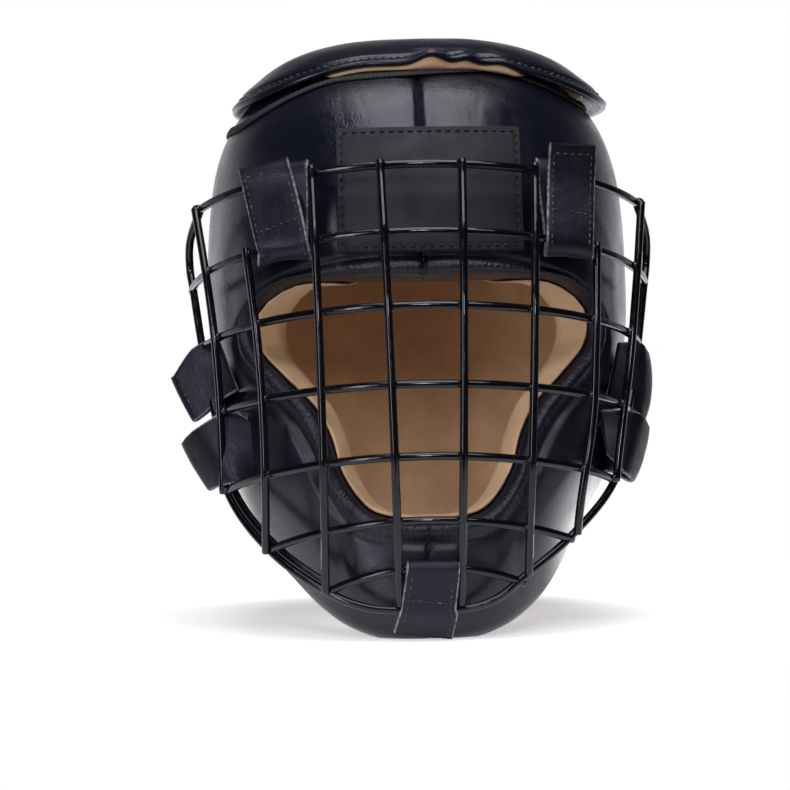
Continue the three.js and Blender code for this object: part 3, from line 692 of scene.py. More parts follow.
# Ridges of the leather, and grooves where the height is below 0. at is measured from the edge of the face
# opening, the cheek pad's seam, the side seam or the rim, as the name says, and for the centre and the chin
# from the middle.
CENTRE_GROOVE = Sizes(height=-1.5, at=0, spread=1.5)
CENTRE_DIP = Sizes(height=-1.3, at=0, spread=8)
EDGE_ROLL = Sizes(height=1.2, at=3.5, spread=3.4)
EDGE_GROOVE = Sizes(height=-1.7, at=10, spread=2.6)
EDGE_GROOVE_FILL = Sizes(height=0.7, at=10, spread=2.6)  # makes the groove shallower at the chin
CHEEK_GROOVE = Sizes(height=-1.6, at=-0.5, spread=1.8)
CHIN_GROOVE = Sizes(height=-0.6, at=43, spread=3.5)
CHIN_RIDGE = Sizes(height=0.4, at=34, spread=8)
SIDE_GROOVE = Sizes(height=-1.5, at=0, spread=2.2)
SIDE_DIP = Sizes(height=-2.2, at=0, spread=14)
RIM_GROOVE = Sizes(height=-1.6, at=21, spread=2.6)
PUCKERS = Sizes(height=0.04, least=0.35, pitch=2.4, sway=2.6, sway_size=14, patch_size=24)
BROW_CREASES = Sizes(depth=0.12, width=0.25, size=(6, 30, 26))
SHELL_UNEVENNESS = (Sizes(height=0.6, size=46, seed=2), Sizes(height=0.14, size=17, seed=8))
# Where forms fade in, as the value at none and the value at whole
FRONT_Y = (-10, -45)
BACK_Y = (-30, 0)
BROW_Y = (-40, -60)
BROW_Z = (240, 250)
CHIN_Z = (75, 60)
CHIN_FOLD_TOP = (62, 50)
CHIN_FOLD_FOOT = (12, 24)
CHEEK_TOP = (0, 9)
CHEEK_FOOT = (75, 30)
CHEEK_REACH = (6, 16)
SIDE_X = (50, 80)
ROLL_INNER = (-6, 2)
ROLL_OUTER = (13, 7)
LEATHER_DEPTH = (11, 2)
SOFT_GLOSS_REACH = (26, 14)


def half_turns(count):
    inner = np.linspace(0, math.pi, count)
    return np.concatenate([[0], [SEAM_TURN], inner[1:-1], [math.pi - SEAM_TURN], [math.pi]])


def edge_arc(wall):
    """How far each section is along the face outline from the brow."""
    points, _ = wall.outer(np.zeros((len(wall.turns), 1)))
    return lengths_along(points[:, 0])


def cheek_line(x):
    """Height of the cheek pad's upper seam at a distance from the middle."""
    return CHEEK.seam_z - CHEEK.fall * np.maximum(np.abs(x) - CHEEK.level_to, 0) ** 2


def on_roll(reach):
    """1 on the puckered roll along the edge of the face opening, and 0 away from it."""
    return smoothstep(*ROLL_INNER, reach) * smoothstep(*ROLL_OUTER, reach)


def ridge(value, form):
    """The height of a ridge at a value."""
    return form.height * bell(value, form.at, form.spread)


def shell_relief(points, reach, arc, side, from_rim):
    """How far the leather stands out from the plain form, in millimetres."""
    x, y, z = np.moveaxis(points, -1, 0)
    distance = np.abs(x)
    at_front = smoothstep(*FRONT_Y, y)
    at_chin = at_front * smoothstep(*CHIN_Z, z)
    relief = (ridge(distance, CENTRE_GROOVE) + ridge(distance, CENTRE_DIP)) * (1 - CHIN_SEAM * at_chin)
    relief += ridge(reach, EDGE_ROLL) + ridge(reach, EDGE_GROOVE) + at_chin * ridge(reach, EDGE_GROOVE_FILL)
    phase = arc * 2 * math.pi / PUCKERS.pitch + PUCKERS.sway * wander(points, PUCKERS.sway_size, side)
    patches = smoothstep(-0.2, 0.4, wander(points, PUCKERS.patch_size, 5 + side))
    patchy = PUCKERS.least + (1 - PUCKERS.least) * patches
    relief += PUCKERS.height * on_roll(reach) * patchy * np.sin(phase)
    below = cheek_line(x) - z
    cheek = CHEEK.height * smoothstep(*CHEEK_TOP, below) * smoothstep(*CHEEK_FOOT, below)
    relief += at_front * smoothstep(*CHEEK_REACH, reach) * (cheek + ridge(below, CHEEK_GROOVE))
    chin = at_front * smoothstep(*CHIN_FOLD_TOP, z) * smoothstep(*CHIN_FOLD_FOOT, z)
    relief += chin * (ridge(distance, CHIN_GROOVE) + ridge(distance, CHIN_RIDGE))
    brow = smoothstep(*BROW_Z, z) * smoothstep(*BROW_Y, y)
    creases = np.abs(wander(points, BROW_CREASES.size, 11))
    relief += brow * BROW_CREASES.depth * (smoothstep(0, BROW_CREASES.width, creases) - 1)
    behind = y - body_section(z).centre_y - SIDE_SEAM.behind
    relief += smoothstep(*SIDE_X, distance) * (ridge(behind, SIDE_GROOVE) + ridge(behind, SIDE_DIP))
    relief += smoothstep(*BACK_Y, y) * ridge(from_rim, RIM_GROOVE)
    return relief + unevenness(points, SHELL_UNEVENNESS, side)


def askew(points):
    """Points of the shell, moved as the soft lower part sits: a little to the left."""
    high_z = np.where(points[..., 0] < 0, ASKEW.left_z, ASKEW.right_z)
    low = smoothstep(high_z, high_z - ASKEW.fall, points[..., 2])
    moved = points.copy()
    moved[..., 0] -= ASKEW.shift * low * smoothstep(*ASKEW.distance, np.abs(points[..., 0]))
    return moved


def headguard_half(name, side):
    wall = Wall(half_turns(HALF_TURNS))
    count = len(wall.turns)
    edge = smooth_curve(FACE_EDGE, EDGE_STEPS)
    run = np.linspace(0, 1, RUN_STEPS + 1)[1:-1]
    run_end = (wall.length - WALL_THICKNESS / 2)[:, None]
    last_edge = edge[-1, 0]
    outer_reach = last_edge + (run_end - last_edge) * run**RUN_CROWDING
    roll_reach, roll_depth = rim_roll(wall.length, np.linspace(0, math.pi, ROLL_STEPS))
    inner = np.linspace(1, 0, INNER_STEPS + 1)[1:-1]
    inner_reach = edge[0, 0] + (run_end - edge[0, 0]) * inner
    reach = np.hstack([np.tile(edge[:, 0], (count, 1)), outer_reach, roll_reach, inner_reach])
    depth = np.hstack([
        np.tile(edge[:, 1], (count, 1)), np.zeros_like(outer_reach),
        roll_depth, np.full_like(inner_reach, WALL_THICKNESS),
    ])
    base, normals = wall.outer(reach)
    arc = edge_arc(wall)[:, None]
    mirror = np.array((side, 1, 1))
    from_rim = wall.length[:, None] - reach
    outside = smoothstep(*LEATHER_DEPTH, depth)
    relief = shell_relief(base * mirror, reach, arc, side, from_rim) * outside
    points = base + normals * (relief - depth)[..., None]
    points[..., 2] = np.maximum(points[..., 2], 0)
    points[[0, -1], :, 0] = SEAM_GAP
    piece = skin_piece(name, askew(points * mirror), LEATHER, "leather", ring_columns=True)
    hold(piece, "along_edge", np.broadcast_to(arc, reach.shape))
    hold(piece, "from_edge", reach)
    hold(piece, "on_roll", on_roll(reach) * outside)
    hold(piece, "near_edge", smoothstep(*SOFT_GLOSS_REACH, reach) * outside)
    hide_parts(name)


headguard_half("headguard_left", LEFT)
headguard_half("headguard_right", RIGHT)

# Lining

LINING_TURNS = 150
LINING_STEPS = 46
LINING_FLOOR = 0.6  # the least height of the lining over the floor
HEM = Sizes(end=math.pi * 5 / 6, steps=5)  # how far the lining goes round the roll of the rim
# Along the brow the leather wraps further round the edge and covers this share of the lining's edge
BROW_COVER = Sizes(share=0.97, start=math.radians(38), end=math.radians(62))


def offset_path(reach, depth, distance):
    along = unit(np.stack([np.gradient(reach, axis=1), np.gradient(depth, axis=1)], axis=-1))
    return reach - along[..., 1] * distance, depth + along[..., 0] * distance


def build_lining():
    wall = Wall(np.linspace(0, math.pi, LINING_TURNS))
    edge = smooth_curve(FACE_EDGE[LEATHER_START::-1], EDGE_STEPS)
    hidden = BROW_COVER.share * smoothstep(BROW_COVER.end, BROW_COVER.start, wall.turns)[:, None]
    place = (hidden + (1 - hidden) * np.linspace(0, 1, len(edge))) * (len(edge) - 1)
    edge_reach, edge_depth = (np.interp(place, np.arange(len(edge)), c) for c in edge.T)
    run = np.linspace(0, 1, LINING_STEPS)[1:-1]
    run_end = (wall.length - WALL_THICKNESS / 2)[:, None]
    inner_reach = edge[-1, 0] + (run_end - edge[-1, 0]) * run
    roll_reach, roll_depth = rim_roll(wall.length, np.linspace(math.pi, HEM.end, HEM.steps))
    reach = np.hstack([edge_reach, inner_reach, roll_reach])
    depth = np.hstack([edge_depth, np.full_like(inner_reach, WALL_THICKNESS), roll_depth])
    outer_skin = offset_path(reach, depth, LINING.clearance)
    inner_skin = offset_path(reach, depth, LINING.clearance + LINING.thickness)
    loop_reach, loop_depth = (
        np.hstack([outer, inner[:, ::-1]]) for outer, inner in zip(outer_skin, inner_skin))
    base, normals = wall.outer(loop_reach)
    points = base - normals * loop_depth[..., None]
    points[..., 2] = np.maximum(points[..., 2], LINING_FLOOR)
    points[[0, -1], :, 0] = 0
    left = points[-2:0:-1] * (-1, 1, 1)
    loops = askew(np.concatenate([points, left]))
    piece = skin_piece("lining", loops, TAN, "lining", ring_rows=True, ring_columns=True)
    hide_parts("lining")


build_lining()

# Crown pad

# Where the pad's edge stands off the headguard, by azimuth from the front, in degrees
CROWN_LIFTS = (
    Sizes(azimuth=3, spread=6, lift=4.8),
    Sizes(azimuth=15.5, spread=4, lift=2.6),
    Sizes(azimuth=28, spread=4.5, lift=1.9),
    Sizes(azimuth=72, spread=20, lift=2.2),
    Sizes(azimuth=-72, spread=20, lift=2.2),
)
CROWN_AROUND = 300
CROWN_SWELL = Sizes(edge_power=2.4, power=0.8)
CROWN_SLACK = (Sizes(height=0.45, size=40, seed=3), Sizes(height=0.06, size=12, seed=4))
# Shares of the way from the pad's middle to its edge line: the sewn line, and the end of the round edge
SEWN_SHARE = 0.955
ROUND_EDGE_SHARE = 1.012
SEWN_CHANNEL = Sizes(height=-1.1, at=SEWN_SHARE, spread=0.014)
# Where the channel and the slack fade in, as the share at none and the share at whole
CHANNEL_FROM = (0.86, 0.93)
SLACK_FROM = (1, 0.85)
# The pad's lining: the shares that it reaches at the front and elsewhere, the degrees between which that
# changes on each side, and where and how low it turns down at the front
CROWN_CLOTH = Sizes(front=0.995, back=0.9, left=(-42, -30), right=(44, 32), turn=(0.95, 0.98), low=0.6)
CLOTH_GAP = 0.3  # between the lining and the pad


def crown_lift(azimuth, share):
    degrees = np.degrees(azimuth)
    lift = sum(row.lift * bell(degrees, row.azimuth, row.spread) for row in CROWN_LIFTS)
    return lift * smoothstep(CROWN.lift_start, 1, share)


def crown_edge_z(points, edge):
    x, y, _ = points.T
    turned = np.degrees(np.arctan2(np.abs(x), CROWN.centre[1] - y))
    return edge.front_z - edge.drop * smoothstep(edge.start, edge.end, turned) + edge.lean * x


def crown_base(azimuth, share, edge=PAD_EDGE):
    """Points on the dome, by azimuth and by share of the way from the middle to an edge line."""
    flat_azimuth = np.unique(azimuth)

    def direction(tilt, turn):
        return np.stack([np.sin(turn) * np.sin(tilt), -np.cos(turn) * np.sin(tilt), np.cos(tilt)], -1)

    def is_above(tilt):
        hit = surface_points(CROWN.centre, direction(tilt, flat_azimuth))
        return hit[:, 2] > crown_edge_z(hit, edge)

    edge_tilt = bisect(
        is_above, np.zeros_like(flat_azimuth), np.full_like(flat_azimuth, math.pi / 2))
    tilt = np.interp(azimuth, flat_azimuth, edge_tilt) * share
    points = surface_points(CROWN.centre, direction(tilt, azimuth))
    return points, surface_normals(points)


def crown_thickness(share):
    inward = np.maximum(0, 1 - (share / CROWN.flange_start) ** CROWN_SWELL.edge_power)
    return CROWN.flange + (CROWN.padding - CROWN.flange) * inward**CROWN_SWELL.power


def crown_around():
    return np.linspace(-math.pi, math.pi, CROWN_AROUND, endpoint=False)


def crown_skin(shares, heights, outer_share):
    """Rings of points at the given shares, with the heights that a function gives for them."""
    azimuth, share = np.meshgrid(crown_around(), shares, indexing="ij")
    share = share * outer_share(azimuth)
    base, normals = crown_base(azimuth, share)
    points = base + normals * heights(azimuth, share, base)[..., None]
    points[..., 0] += CROWN.shift_x
    return points


def crown_disc(name, under, top, shares, material, slot, outer_share=np.ones_like):
    lower = crown_skin(shares, under, outer_share)
    upper = crown_skin(shares, top, outer_share)
    edge_out = crown_skin(
        np.array((ROUND_EDGE_SHARE,)), lambda a, s, b: (under(a, 1, b) + top(a, 1, b)) / 2, outer_share)
    loops = np.concatenate([lower, edge_out, upper[:, ::-1]], axis=1)
    piece = skin_piece(name, loops, material, slot, ring_rows=True)
    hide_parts(name)
    return piece


def crown_lining_under(azimuth, share, base):
    """Off the dome in the middle. At the front the cloth turns down to the tape and closes the gap."""
    turned = smoothstep(*CROWN_CLOTH.turn, share)
    return (CROWN.clearance + crown_lift(azimuth, share)) * (1 - turned) + CROWN_CLOTH.low * turned


def lining_share(azimuth):
    """How far out the pad's lining goes: to the edge at the front, and short of it elsewhere."""
    degrees = np.degrees(azimuth)
    at_front = smoothstep(*CROWN_CLOTH.left, degrees) * smoothstep(*CROWN_CLOTH.right, degrees)
    return CROWN_CLOTH.back + (CROWN_CLOTH.front - CROWN_CLOTH.back) * at_front


def crown_lining_top(azimuth, share, base):
    return CROWN.clearance + crown_lift(azimuth, share) + CROWN.lining


def crown_pad_under(azimuth, share, base):
    return crown_lining_top(azimuth, share, base) + CLOTH_GAP


def crown_pad_top(azimuth, share, base):
    slack = unevenness(base, CROWN_SLACK) * smoothstep(*SLACK_FROM, share)
    channel = ridge(share, SEWN_CHANNEL) * smoothstep(*CHANNEL_FROM, share)
    return crown_pad_under(azimuth, share, base) + crown_thickness(share) + channel + slack


def crown_shares(count):
    """Shares from the middle to the edge, closer together towards the edge."""
    return np.concatenate([np.linspace(0.004, 0.8, count), np.linspace(0.81, 1, count)])


crown_lining = crown_disc("crown_lining", crown_lining_under, crown_lining_top, crown_shares(14), TAN,
                          "lining", lining_share)
crown_pad = crown_disc(
    "crown_pad", crown_pad_under, crown_pad_top, crown_shares(34), LEATHER, "leather")


def crown_stitches():
    share = np.full(CROWN_AROUND, SEWN_SHARE)
    azimuth = crown_around()
    base, normals = crown_base(azimuth, share)
    line = base + normals * crown_pad_top(azimuth, share, base)[:, None]
    line[:, 0] += CROWN.shift_x
    closed = np.vstack([line, line[:1]])
    parts = MeshParts()
    add_stitches(parts, closed, np.vstack([normals, normals[:1]]))
    parts.piece("crown_stitches", [GREY_THREAD], "leather")


crown_stitches()

# Binding tape below the crown pad

BINDING_RIBS = 260
POINTS_PER_RIB = 6
RIB_DEPTH = 0.4
RIBBED_FROM = 1  # the least height of the points that the ribs move
TAPE_START = 1.2  # how far the tape starts below its edge line
# The tape's section from its upper edge to its lower one: distances down, and heights over the shell
TAPE_SECTION = (
    Sizes(below=0, height=0.4), Sizes(below=0.2, height=1.1), Sizes(below=0.6, height=1.4),
    Sizes(below=2.5, height=1.6), Sizes(below=4.4, height=1.4), Sizes(below=4.8, height=1.1),
    Sizes(below=5, height=0.4),
)


def build_binding():
    azimuth = np.linspace(-math.pi, math.pi, BINDING_RIBS * POINTS_PER_RIB, endpoint=False)
    edge, normal = crown_base(azimuth, np.ones_like(azimuth), TAPE_EDGE)
    inwards = np.stack([-np.sin(azimuth), np.cos(azimuth), np.zeros_like(azimuth)], -1)
    down = -unit(inwards - normal * (inwards * normal).sum(-1, keepdims=True))
    down = np.where(down[:, 2:] > 0, -down, down)
    rib = np.abs(np.sin(azimuth * BINDING_RIBS / 2))
    loops = []
    for row in TAPE_SECTION:
        start = edge + down * (TAPE_START + row.below)
        on_shell = surface_points(CROWN.centre, unit(start - CROWN.centre))
        out = row.height - RIB_DEPTH * (1 - rib) * (row.height > RIBBED_FROM)
        loops.append(raised(on_shell, out[:, None]))
    points = np.stack(loops, axis=1)
    piece = skin_piece(
        "crown_binding", points, BINDING_TAPE, "binding", ring_rows=True, ring_columns=True)
    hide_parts("crown_binding")


build_binding()

# Patch on the forehead

PATCH_ACROSS = 90
PATCH_UP = 60
# Shares of the patch's width and height in which its points crowd towards the edge
PATCH_CROWDING = Sizes(across=0.012, up=0.018)
# Heights over the plain form, the rounding of the edge and the groove of the stitches
PATCH_FORM = Sizes(front=0.8, back=0.6, rounding=0.9)
PATCH_GROOVE = Sizes(height=-0.35, at=2.7, spread=0.7)
PATCH_STITCHES = Sizes(points=60, height=2.45, thread=dict(length=3.0, gap=1.5, radius=0.6))


def patch_place(across, up, height):
    """A point of the patch by its shares across and up, and its height over the leather."""
    x = PATCH.middle_x + PATCH.half_width * (2 * across - 1)
    z = PATCH.bottom_z + (PATCH.top_z - PATCH.bottom_z) * up
    origin = np.stack([x, np.zeros_like(x), z], -1)
    base = surface_points(origin, np.broadcast_to(FORWARD, origin.shape))
    normals = surface_normals(base)
    return base + normals * np.asarray(height)[..., None], normals


def crowded(count, edge_share):
    """Shares from 0 to 1 with extra ones close to both ends."""
    edge = np.array((0, 0.25, 0.5, 0.75, 1)) * edge_share
    return np.concatenate([edge, np.linspace(edge_share, 1 - edge_share, count)[1:-1], 1 - edge[::-1]])


def build_patch():
    across, up = np.meshgrid(
        crowded(PATCH_ACROSS, PATCH_CROWDING.across), crowded(PATCH_UP, PATCH_CROWDING.up), indexing="ij")
    width = 2 * PATCH.half_width
    tall = PATCH.top_z - PATCH.bottom_z
    from_edge = np.minimum(np.minimum(across, 1 - across) * width, np.minimum(up, 1 - up) * tall)
    inwards = np.clip(from_edge / PATCH_FORM.rounding, 0, 1)
    rounded = np.sqrt(np.clip(1 - (1 - inwards) ** 2, 0, 1))
    height = PATCH_FORM.front + PATCH.thickness * rounded + ridge(from_edge, PATCH_GROOVE)
    front, _ = patch_place(across, up, height)
    back, _ = patch_place(across, up, np.full_like(across, PATCH_FORM.back))
    rows, columns = across.shape
    parts = MeshParts()
    sheet = grid_faces(rows, columns)
    rim = np.concatenate([
        np.arange(columns - 1), np.arange(columns - 1, rows * columns - 1, columns),
        np.arange(rows * columns - 1, (rows - 1) * columns, -1),
        np.arange((rows - 1) * columns, 0, -columns)])
    offset = rows * columns
    sides = [(a, b, b + offset, a + offset) for a, b in zip(rim, np.roll(rim, -1))]
    points = np.concatenate([front.reshape(-1, 3), back.reshape(-1, 3)])
    faces = np.concatenate([sheet[:, ::-1], sheet + offset, np.array(sides)])
    parts.add(points, outward(points, faces))
    piece = parts.piece("front_patch", [RUBBER], "patch")
    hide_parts("front_patch")
    thread = MeshParts()
    inset_across, inset_up = PATCH_GROOVE.at / width, PATCH_GROOVE.at / tall
    corners = np.array(((0, 0), (1, 0), (1, 1), (0, 1), (0, 0)))
    corners = (inset_across, inset_up) + corners * (1 - 2 * inset_across, 1 - 2 * inset_up)
    height = np.full(PATCH_STITCHES.points, PATCH_STITCHES.height)
    for start, end in zip(corners, corners[1:]):
        line, normals = patch_place(*np.linspace(start, end, PATCH_STITCHES.points).T, height)
        add_stitches(thread, line, normals, **PATCH_STITCHES.thread)
    thread.piece("patch_stitches", [BLACK_THREAD], "patch")


build_patch()

# Stitched centre seam at the brow and the chin

CENTRE_STITCHES = (
    Sizes(low_z=172.5, high_z=183, deep=2.0),
    Sizes(low_z=26, high_z=54, deep=1.1),
)
CENTRE_THREAD = dict(length=2.4, gap=1.6, radius=0.5)
CENTRE_POINTS = 40


def seam_stitches():
    parts = MeshParts()
    for row in CENTRE_STITCHES:
        z = np.linspace(row.low_z, row.high_z, CENTRE_POINTS)
        origin = np.stack([np.zeros_like(z), np.full_like(z, FAN.centre[1]), z], -1)
        base = surface_points(origin, np.broadcast_to(FORWARD, origin.shape))
        normals = surface_normals(base)
        add_stitches(parts, base - normals * row.deep, normals, **CENTRE_THREAD)
    parts.piece("seam_stitches", [BLACK_THREAD], "leather")


seam_stitches()

FAR_REACH = 100  # away from the forms along the face opening and the rim


def side_seam_stitches():
    """Two rows beside the seam on each side, well away from the face opening and the rim."""
    parts = MeshParts()
    z = np.linspace(SIDE_SEAM.low_z, SIDE_SEAM.high_z, SIDE_SEAM.points)
    far = np.full_like(z, FAR_REACH)
    for side in (LEFT, RIGHT):
        for offset in (-SIDE_SEAM.stitch_offset, SIDE_SEAM.stitch_offset):
            y = body_section(z).centre_y + SIDE_SEAM.behind + offset
            origin = np.stack([np.zeros_like(z), y, z], -1)
            base = surface_points(origin, np.tile((side, 0, 0.0), (len(z), 1)))
            normals = surface_normals(base)
            relief = shell_relief(base, far, 0, side, far)
            add_stitches(parts, askew(base + normals * relief[:, None]), normals)
    parts.piece("side_seam_stitches", [BLACK_THREAD], "leather")


side_seam_stitches()

# Wire cage

WIRE_SIDES = 14
WIRE_SPACING = 2.2
WIRE_BEVEL = 0.35
WIRE_UNEVENNESS = Sizes(share=0.03, size=11)
WIRE_CURVE_STEPS = 12
HOOP_POINTS = 41
BAR_POINTS = 33
BAR_OVERHANG = 0.02  # the share of a bar's length by which a hoop may lie past its top
KICK_START = 0.55  # the share of a bar's length from which its foot is kicked
WELD = Sizes(rings=7, sides=10, pole=0.12, radius=2.7, half_height=2.1, unevenness=0.18, grain=2.2)


def dome_row(level):
    """The dome's apex, half width and rake at a level between two hoops."""
    rows = (*HOOPS, CAGE_FOOT)
    levels = [row.level for row in rows][::-1]

    def mix(key):
        return np.interp(level, levels, [getattr(row, key) for row in rows][::-1])

    return Sizes(level=level, apex_y=mix("apex_y"), half=mix("half"), rake=mix("rake"))


def dome_point(row, x, out):
    """A point on the cage's dome at x, moved out along its normal."""
    share = np.clip(x / row.half, -1, 1)
    flat = math.sqrt(1 - share * share)
    rake = math.radians(row.rake)
    fall = np.array((0, math.cos(rake), -math.sin(rake)))
    normal = unit(np.array((share * DOME_DEPTH / row.half, 0, 0)) - fall * flat)
    return np.array((x, row.apex_y, row.level)) + fall * DOME_DEPTH * (1 - flat) + normal * out


def hoop_path(hoop):
    left, right = (math.asin(end) for end in hoop.ends)
    turns = np.linspace(-left, right, HOOP_POINTS)
    path = np.array([dome_point(hoop, hoop.half * math.sin(t), -WELD_OFFSET) for t in turns])
    path[:, 2] += hoop.tilt * np.maximum(turns, 0) / right
    return path


def bar_x(bar, share):
    straight = bar.top_x + (bar.foot_x - bar.top_x) * share
    return straight + bar.bow * math.sin(math.pi * share) + bar.kick * smoothstep(KICK_START, 1, share)


def bar_path(bar):
    points = []
    for share in np.linspace(0, 1, BAR_POINTS):
        level = bar.top + (bar.foot - bar.top) * share
        points.append(dome_point(dome_row(level), bar_x(bar, share), WELD_OFFSET))
    return np.array(points)


def outer_wire_path():
    """The wire round the cage, from the upper left down to the foot and up to the upper right."""
    def side_points(side):
        shares = [(share * dome_row(level).half, level) for share, level in (*SIDE_WIRE, *LOW_SIDE[side])]
        places = (*shares, *OUTER_FEET[side])
        return [dome_point(dome_row(level), side * x, -WELD_OFFSET) for x, level in places]

    middle = dome_point(CAGE_FOOT, 0, -WELD_OFFSET)
    points = [*side_points(LEFT), middle, *side_points(RIGHT)[::-1]]
    return smooth_curve(points, WIRE_CURVE_STEPS)


OUTER_WIRE = outer_wire_path()


def lap_path():
    """The end of the outer wire, which laps over its start at the lower left."""
    x, _, z = OUTER_WIRE.T
    return OUTER_WIRE[(x < LAP.from_x) & (z < LAP.top_z)] + LAP.offset


def transported(tangents):
    """A direction across a path, carried along it without twisting."""
    across = np.cross(tangents[0], UP)
    if np.linalg.norm(across) < 0.1:
        across = np.cross(tangents[0], FORWARD)
    carried = []
    for tangent in tangents:
        across = unit(across - tangent * (across @ tangent))
        carried.append(across)
    return np.array(carried)


def add_wire(parts, path, seed):
    path = resample(path, WIRE_SPACING)
    tangents = unit(np.gradient(path, axis=0))
    across = transported(tangents)
    other = np.cross(tangents, across)
    radii = WIRE_RADIUS * (1 + WIRE_UNEVENNESS.share * wander(path, WIRE_UNEVENNESS.size, seed))
    path = np.vstack([path[:1], path[:1] + tangents[:1] * WIRE_BEVEL, path[1:-1],
                      path[-1:] - tangents[-1:] * WIRE_BEVEL, path[-1:]])
    across, other = (np.vstack([way[:1], way, way[-1:]]) for way in (across, other))
    radii = np.concatenate([radii[:1] - WIRE_BEVEL, radii, radii[-1:] - WIRE_BEVEL])
    points = tube(path, across, other, radii, WIRE_SIDES)
    faces = outward(points, grid_faces(len(path), WIRE_SIDES, ring_columns=True))
    parts.add(points, [*faces, *end_caps(len(path), WIRE_SIDES)])


def add_weld(parts, at, across, out, seed):
    """A small bead of weld metal under the coating where two wires cross."""
    polar = np.linspace(WELD.pole, math.pi - WELD.pole, WELD.rings)
    axis = np.cos(polar)[:, None] * out * WELD.half_height
    third = np.cross(across, out)
    shape = tube(axis, across[None], third[None], np.sin(polar) * WELD.radius, WELD.sides)
    points = at + shape * (1 + WELD.unevenness * wander(shape + at, WELD.grain, seed))[..., None]
    faces = outward(points, grid_faces(WELD.rings, WELD.sides, ring_columns=True))
    first_cap, last_cap = end_caps(WELD.rings, WELD.sides)
    parts.add(points, [*faces, first_cap[::-1], last_cap])


def bar_share_at(bar, level):
    return (bar.top - level) / (bar.top - bar.foot)


def build_cage():
    parts = MeshParts()
    add_wire(parts, OUTER_WIRE, seed=1)
    add_wire(parts, lap_path(), seed=9)
    for number, hoop in enumerate(HOOPS):
        add_wire(parts, hoop_path(hoop), seed=2 + number)
    for number, bar in enumerate(BARS):
        add_wire(parts, bar_path(bar), seed=20 + number)
    for bar in BARS:
        for hoop in HOOPS:
            share = bar_share_at(bar, hoop.level)
            x = bar_x(bar, share)
            reach = hoop.half * hoop.ends[int(x > 0)]
            if not -BAR_OVERHANG < share < 1 or abs(x) > reach:
                continue
            at = dome_point(hoop, x, 0) + UP * hoop.tilt * max(x, 0) / reach
            out = unit(dome_point(hoop, x, 1) - dome_point(hoop, x, 0))
            across = unit(np.cross(UP, out))
            add_weld(parts, at, across, np.cross(out, across), len(parts.points))
    piece = parts.piece("cage", [WIRE], "cage_wire")
    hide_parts("cage")


build_cage()

# Leather straps

STRAP_SPACING = 1.6
STRAP_CURVE_STEPS = 6
CROSS_POINTS = 20
STRAP_CORNER = 0.8
STRAP_FLAT_POINTS = 12
STRAP_BENDS = np.radians((60, 20, -20, -60))  # of the points round a cut edge
STRAP_RIPPLE = (Sizes(height=0.28, size=13, seed=0), Sizes(height=0.1, size=4, seed=1))
RAW_EDGE_SLOT = 1
STRAP_THREAD = dict(length=2.2, gap=1.0, radius=0.32, slot=2)


def fold(centre, axis_a, axis_b, radius, from_degrees, to_degrees, steps):
    """Points of a strap's path round a centre, from axis_a at 0 degrees to axis_b at 90."""
    angles = np.radians(np.linspace(from_degrees, to_degrees, steps + 1))[:, None]
    return centre + axis_a * radius * np.cos(angles) + axis_b * radius * np.sin(angles)


def strap_ring(width):
    """The rounded section of a strap: offsets across and out, and which are on a cut edge."""
    half = STRAP_THICKNESS / 2
    square = width / 2 - STRAP_CORNER
    flat = np.linspace(-1, 1, STRAP_FLAT_POINTS) * square
    right = [(square + STRAP_CORNER * math.cos(a), half * math.sin(a)) for a in STRAP_BENDS]
    top = [(x, half) for x in flat]
    bottom = [(x, -half) for x in flat[::-1]]
    left = [(-x, -y) for x, y in right]
    on_edge = ([False] * (STRAP_FLAT_POINTS - 1) + [True] * (len(STRAP_BENDS) + 1)) * 2
    return np.array([*top, *right, *bottom, *left]), on_edge


def add_strap(parts, path, across, width, seed, square=True, push=None):
    """A strap along a path. across gives its sideways direction and width its breadth. A square
    strap is cut at a right angle to its path. push moves its middle and leaves its edges."""
    push = np.zeros_like(path) if push is None else push
    lengths = lengths_along(path)
    wanted = np.linspace(0, lengths[-1], int(lengths[-1] / STRAP_SPACING))
    line, sideways, push = (table_at(wanted, lengths, table) for table in (path, across, push))
    breadth = np.interp(wanted, lengths, width)
    tangents = unit(np.gradient(line, axis=0))
    if square:
        sideways = sideways - tangents * (sideways * tangents).sum(-1, keepdims=True)
    sideways = unit(sideways)
    normals = unit(np.cross(tangents, sideways))
    loops = []
    for at, side, out, wide, pushed in zip(line, sideways, normals, breadth, push):
        ring, on_edge = strap_ring(wide)
        middle = 1 - (2 * ring[:, :1] / wide) ** 2
        loops.append(at + ring[:, :1] * side + ring[:, 1:] * out + middle * pushed)
    points = np.array(loops)
    points = points + normals[:, None, :] * unevenness(points, STRAP_RIPPLE, seed)[..., None]
    rows, size = points.shape[:2]
    faces = outward(points, grid_faces(rows, size, ring_columns=True))
    on_edges = np.tile(on_edge, rows - 1)
    parts.add(points, faces[~on_edges])
    parts.add_faces([*faces[on_edges], *end_caps(rows, size)], RAW_EDGE_SLOT)
    return Sizes(line=line, sideways=sideways, normals=normals, breadth=breadth, push=push)


def edge_stitches(parts, strap, start, end, inset=3):
    """Stitches along both edges of a strap, between two shares of its length."""
    count = len(strap.line)
    span = slice(int(start * count), int(end * count))
    out = -strap.normals[span]
    for side in (LEFT, RIGHT):
        offset = strap.sideways[span] * (side * (strap.breadth[span] / 2 - inset))[:, None]
        add_stitches(parts, strap.line[span] + offset + out * STRAP_THICKNESS / 2, out, **STRAP_THREAD)


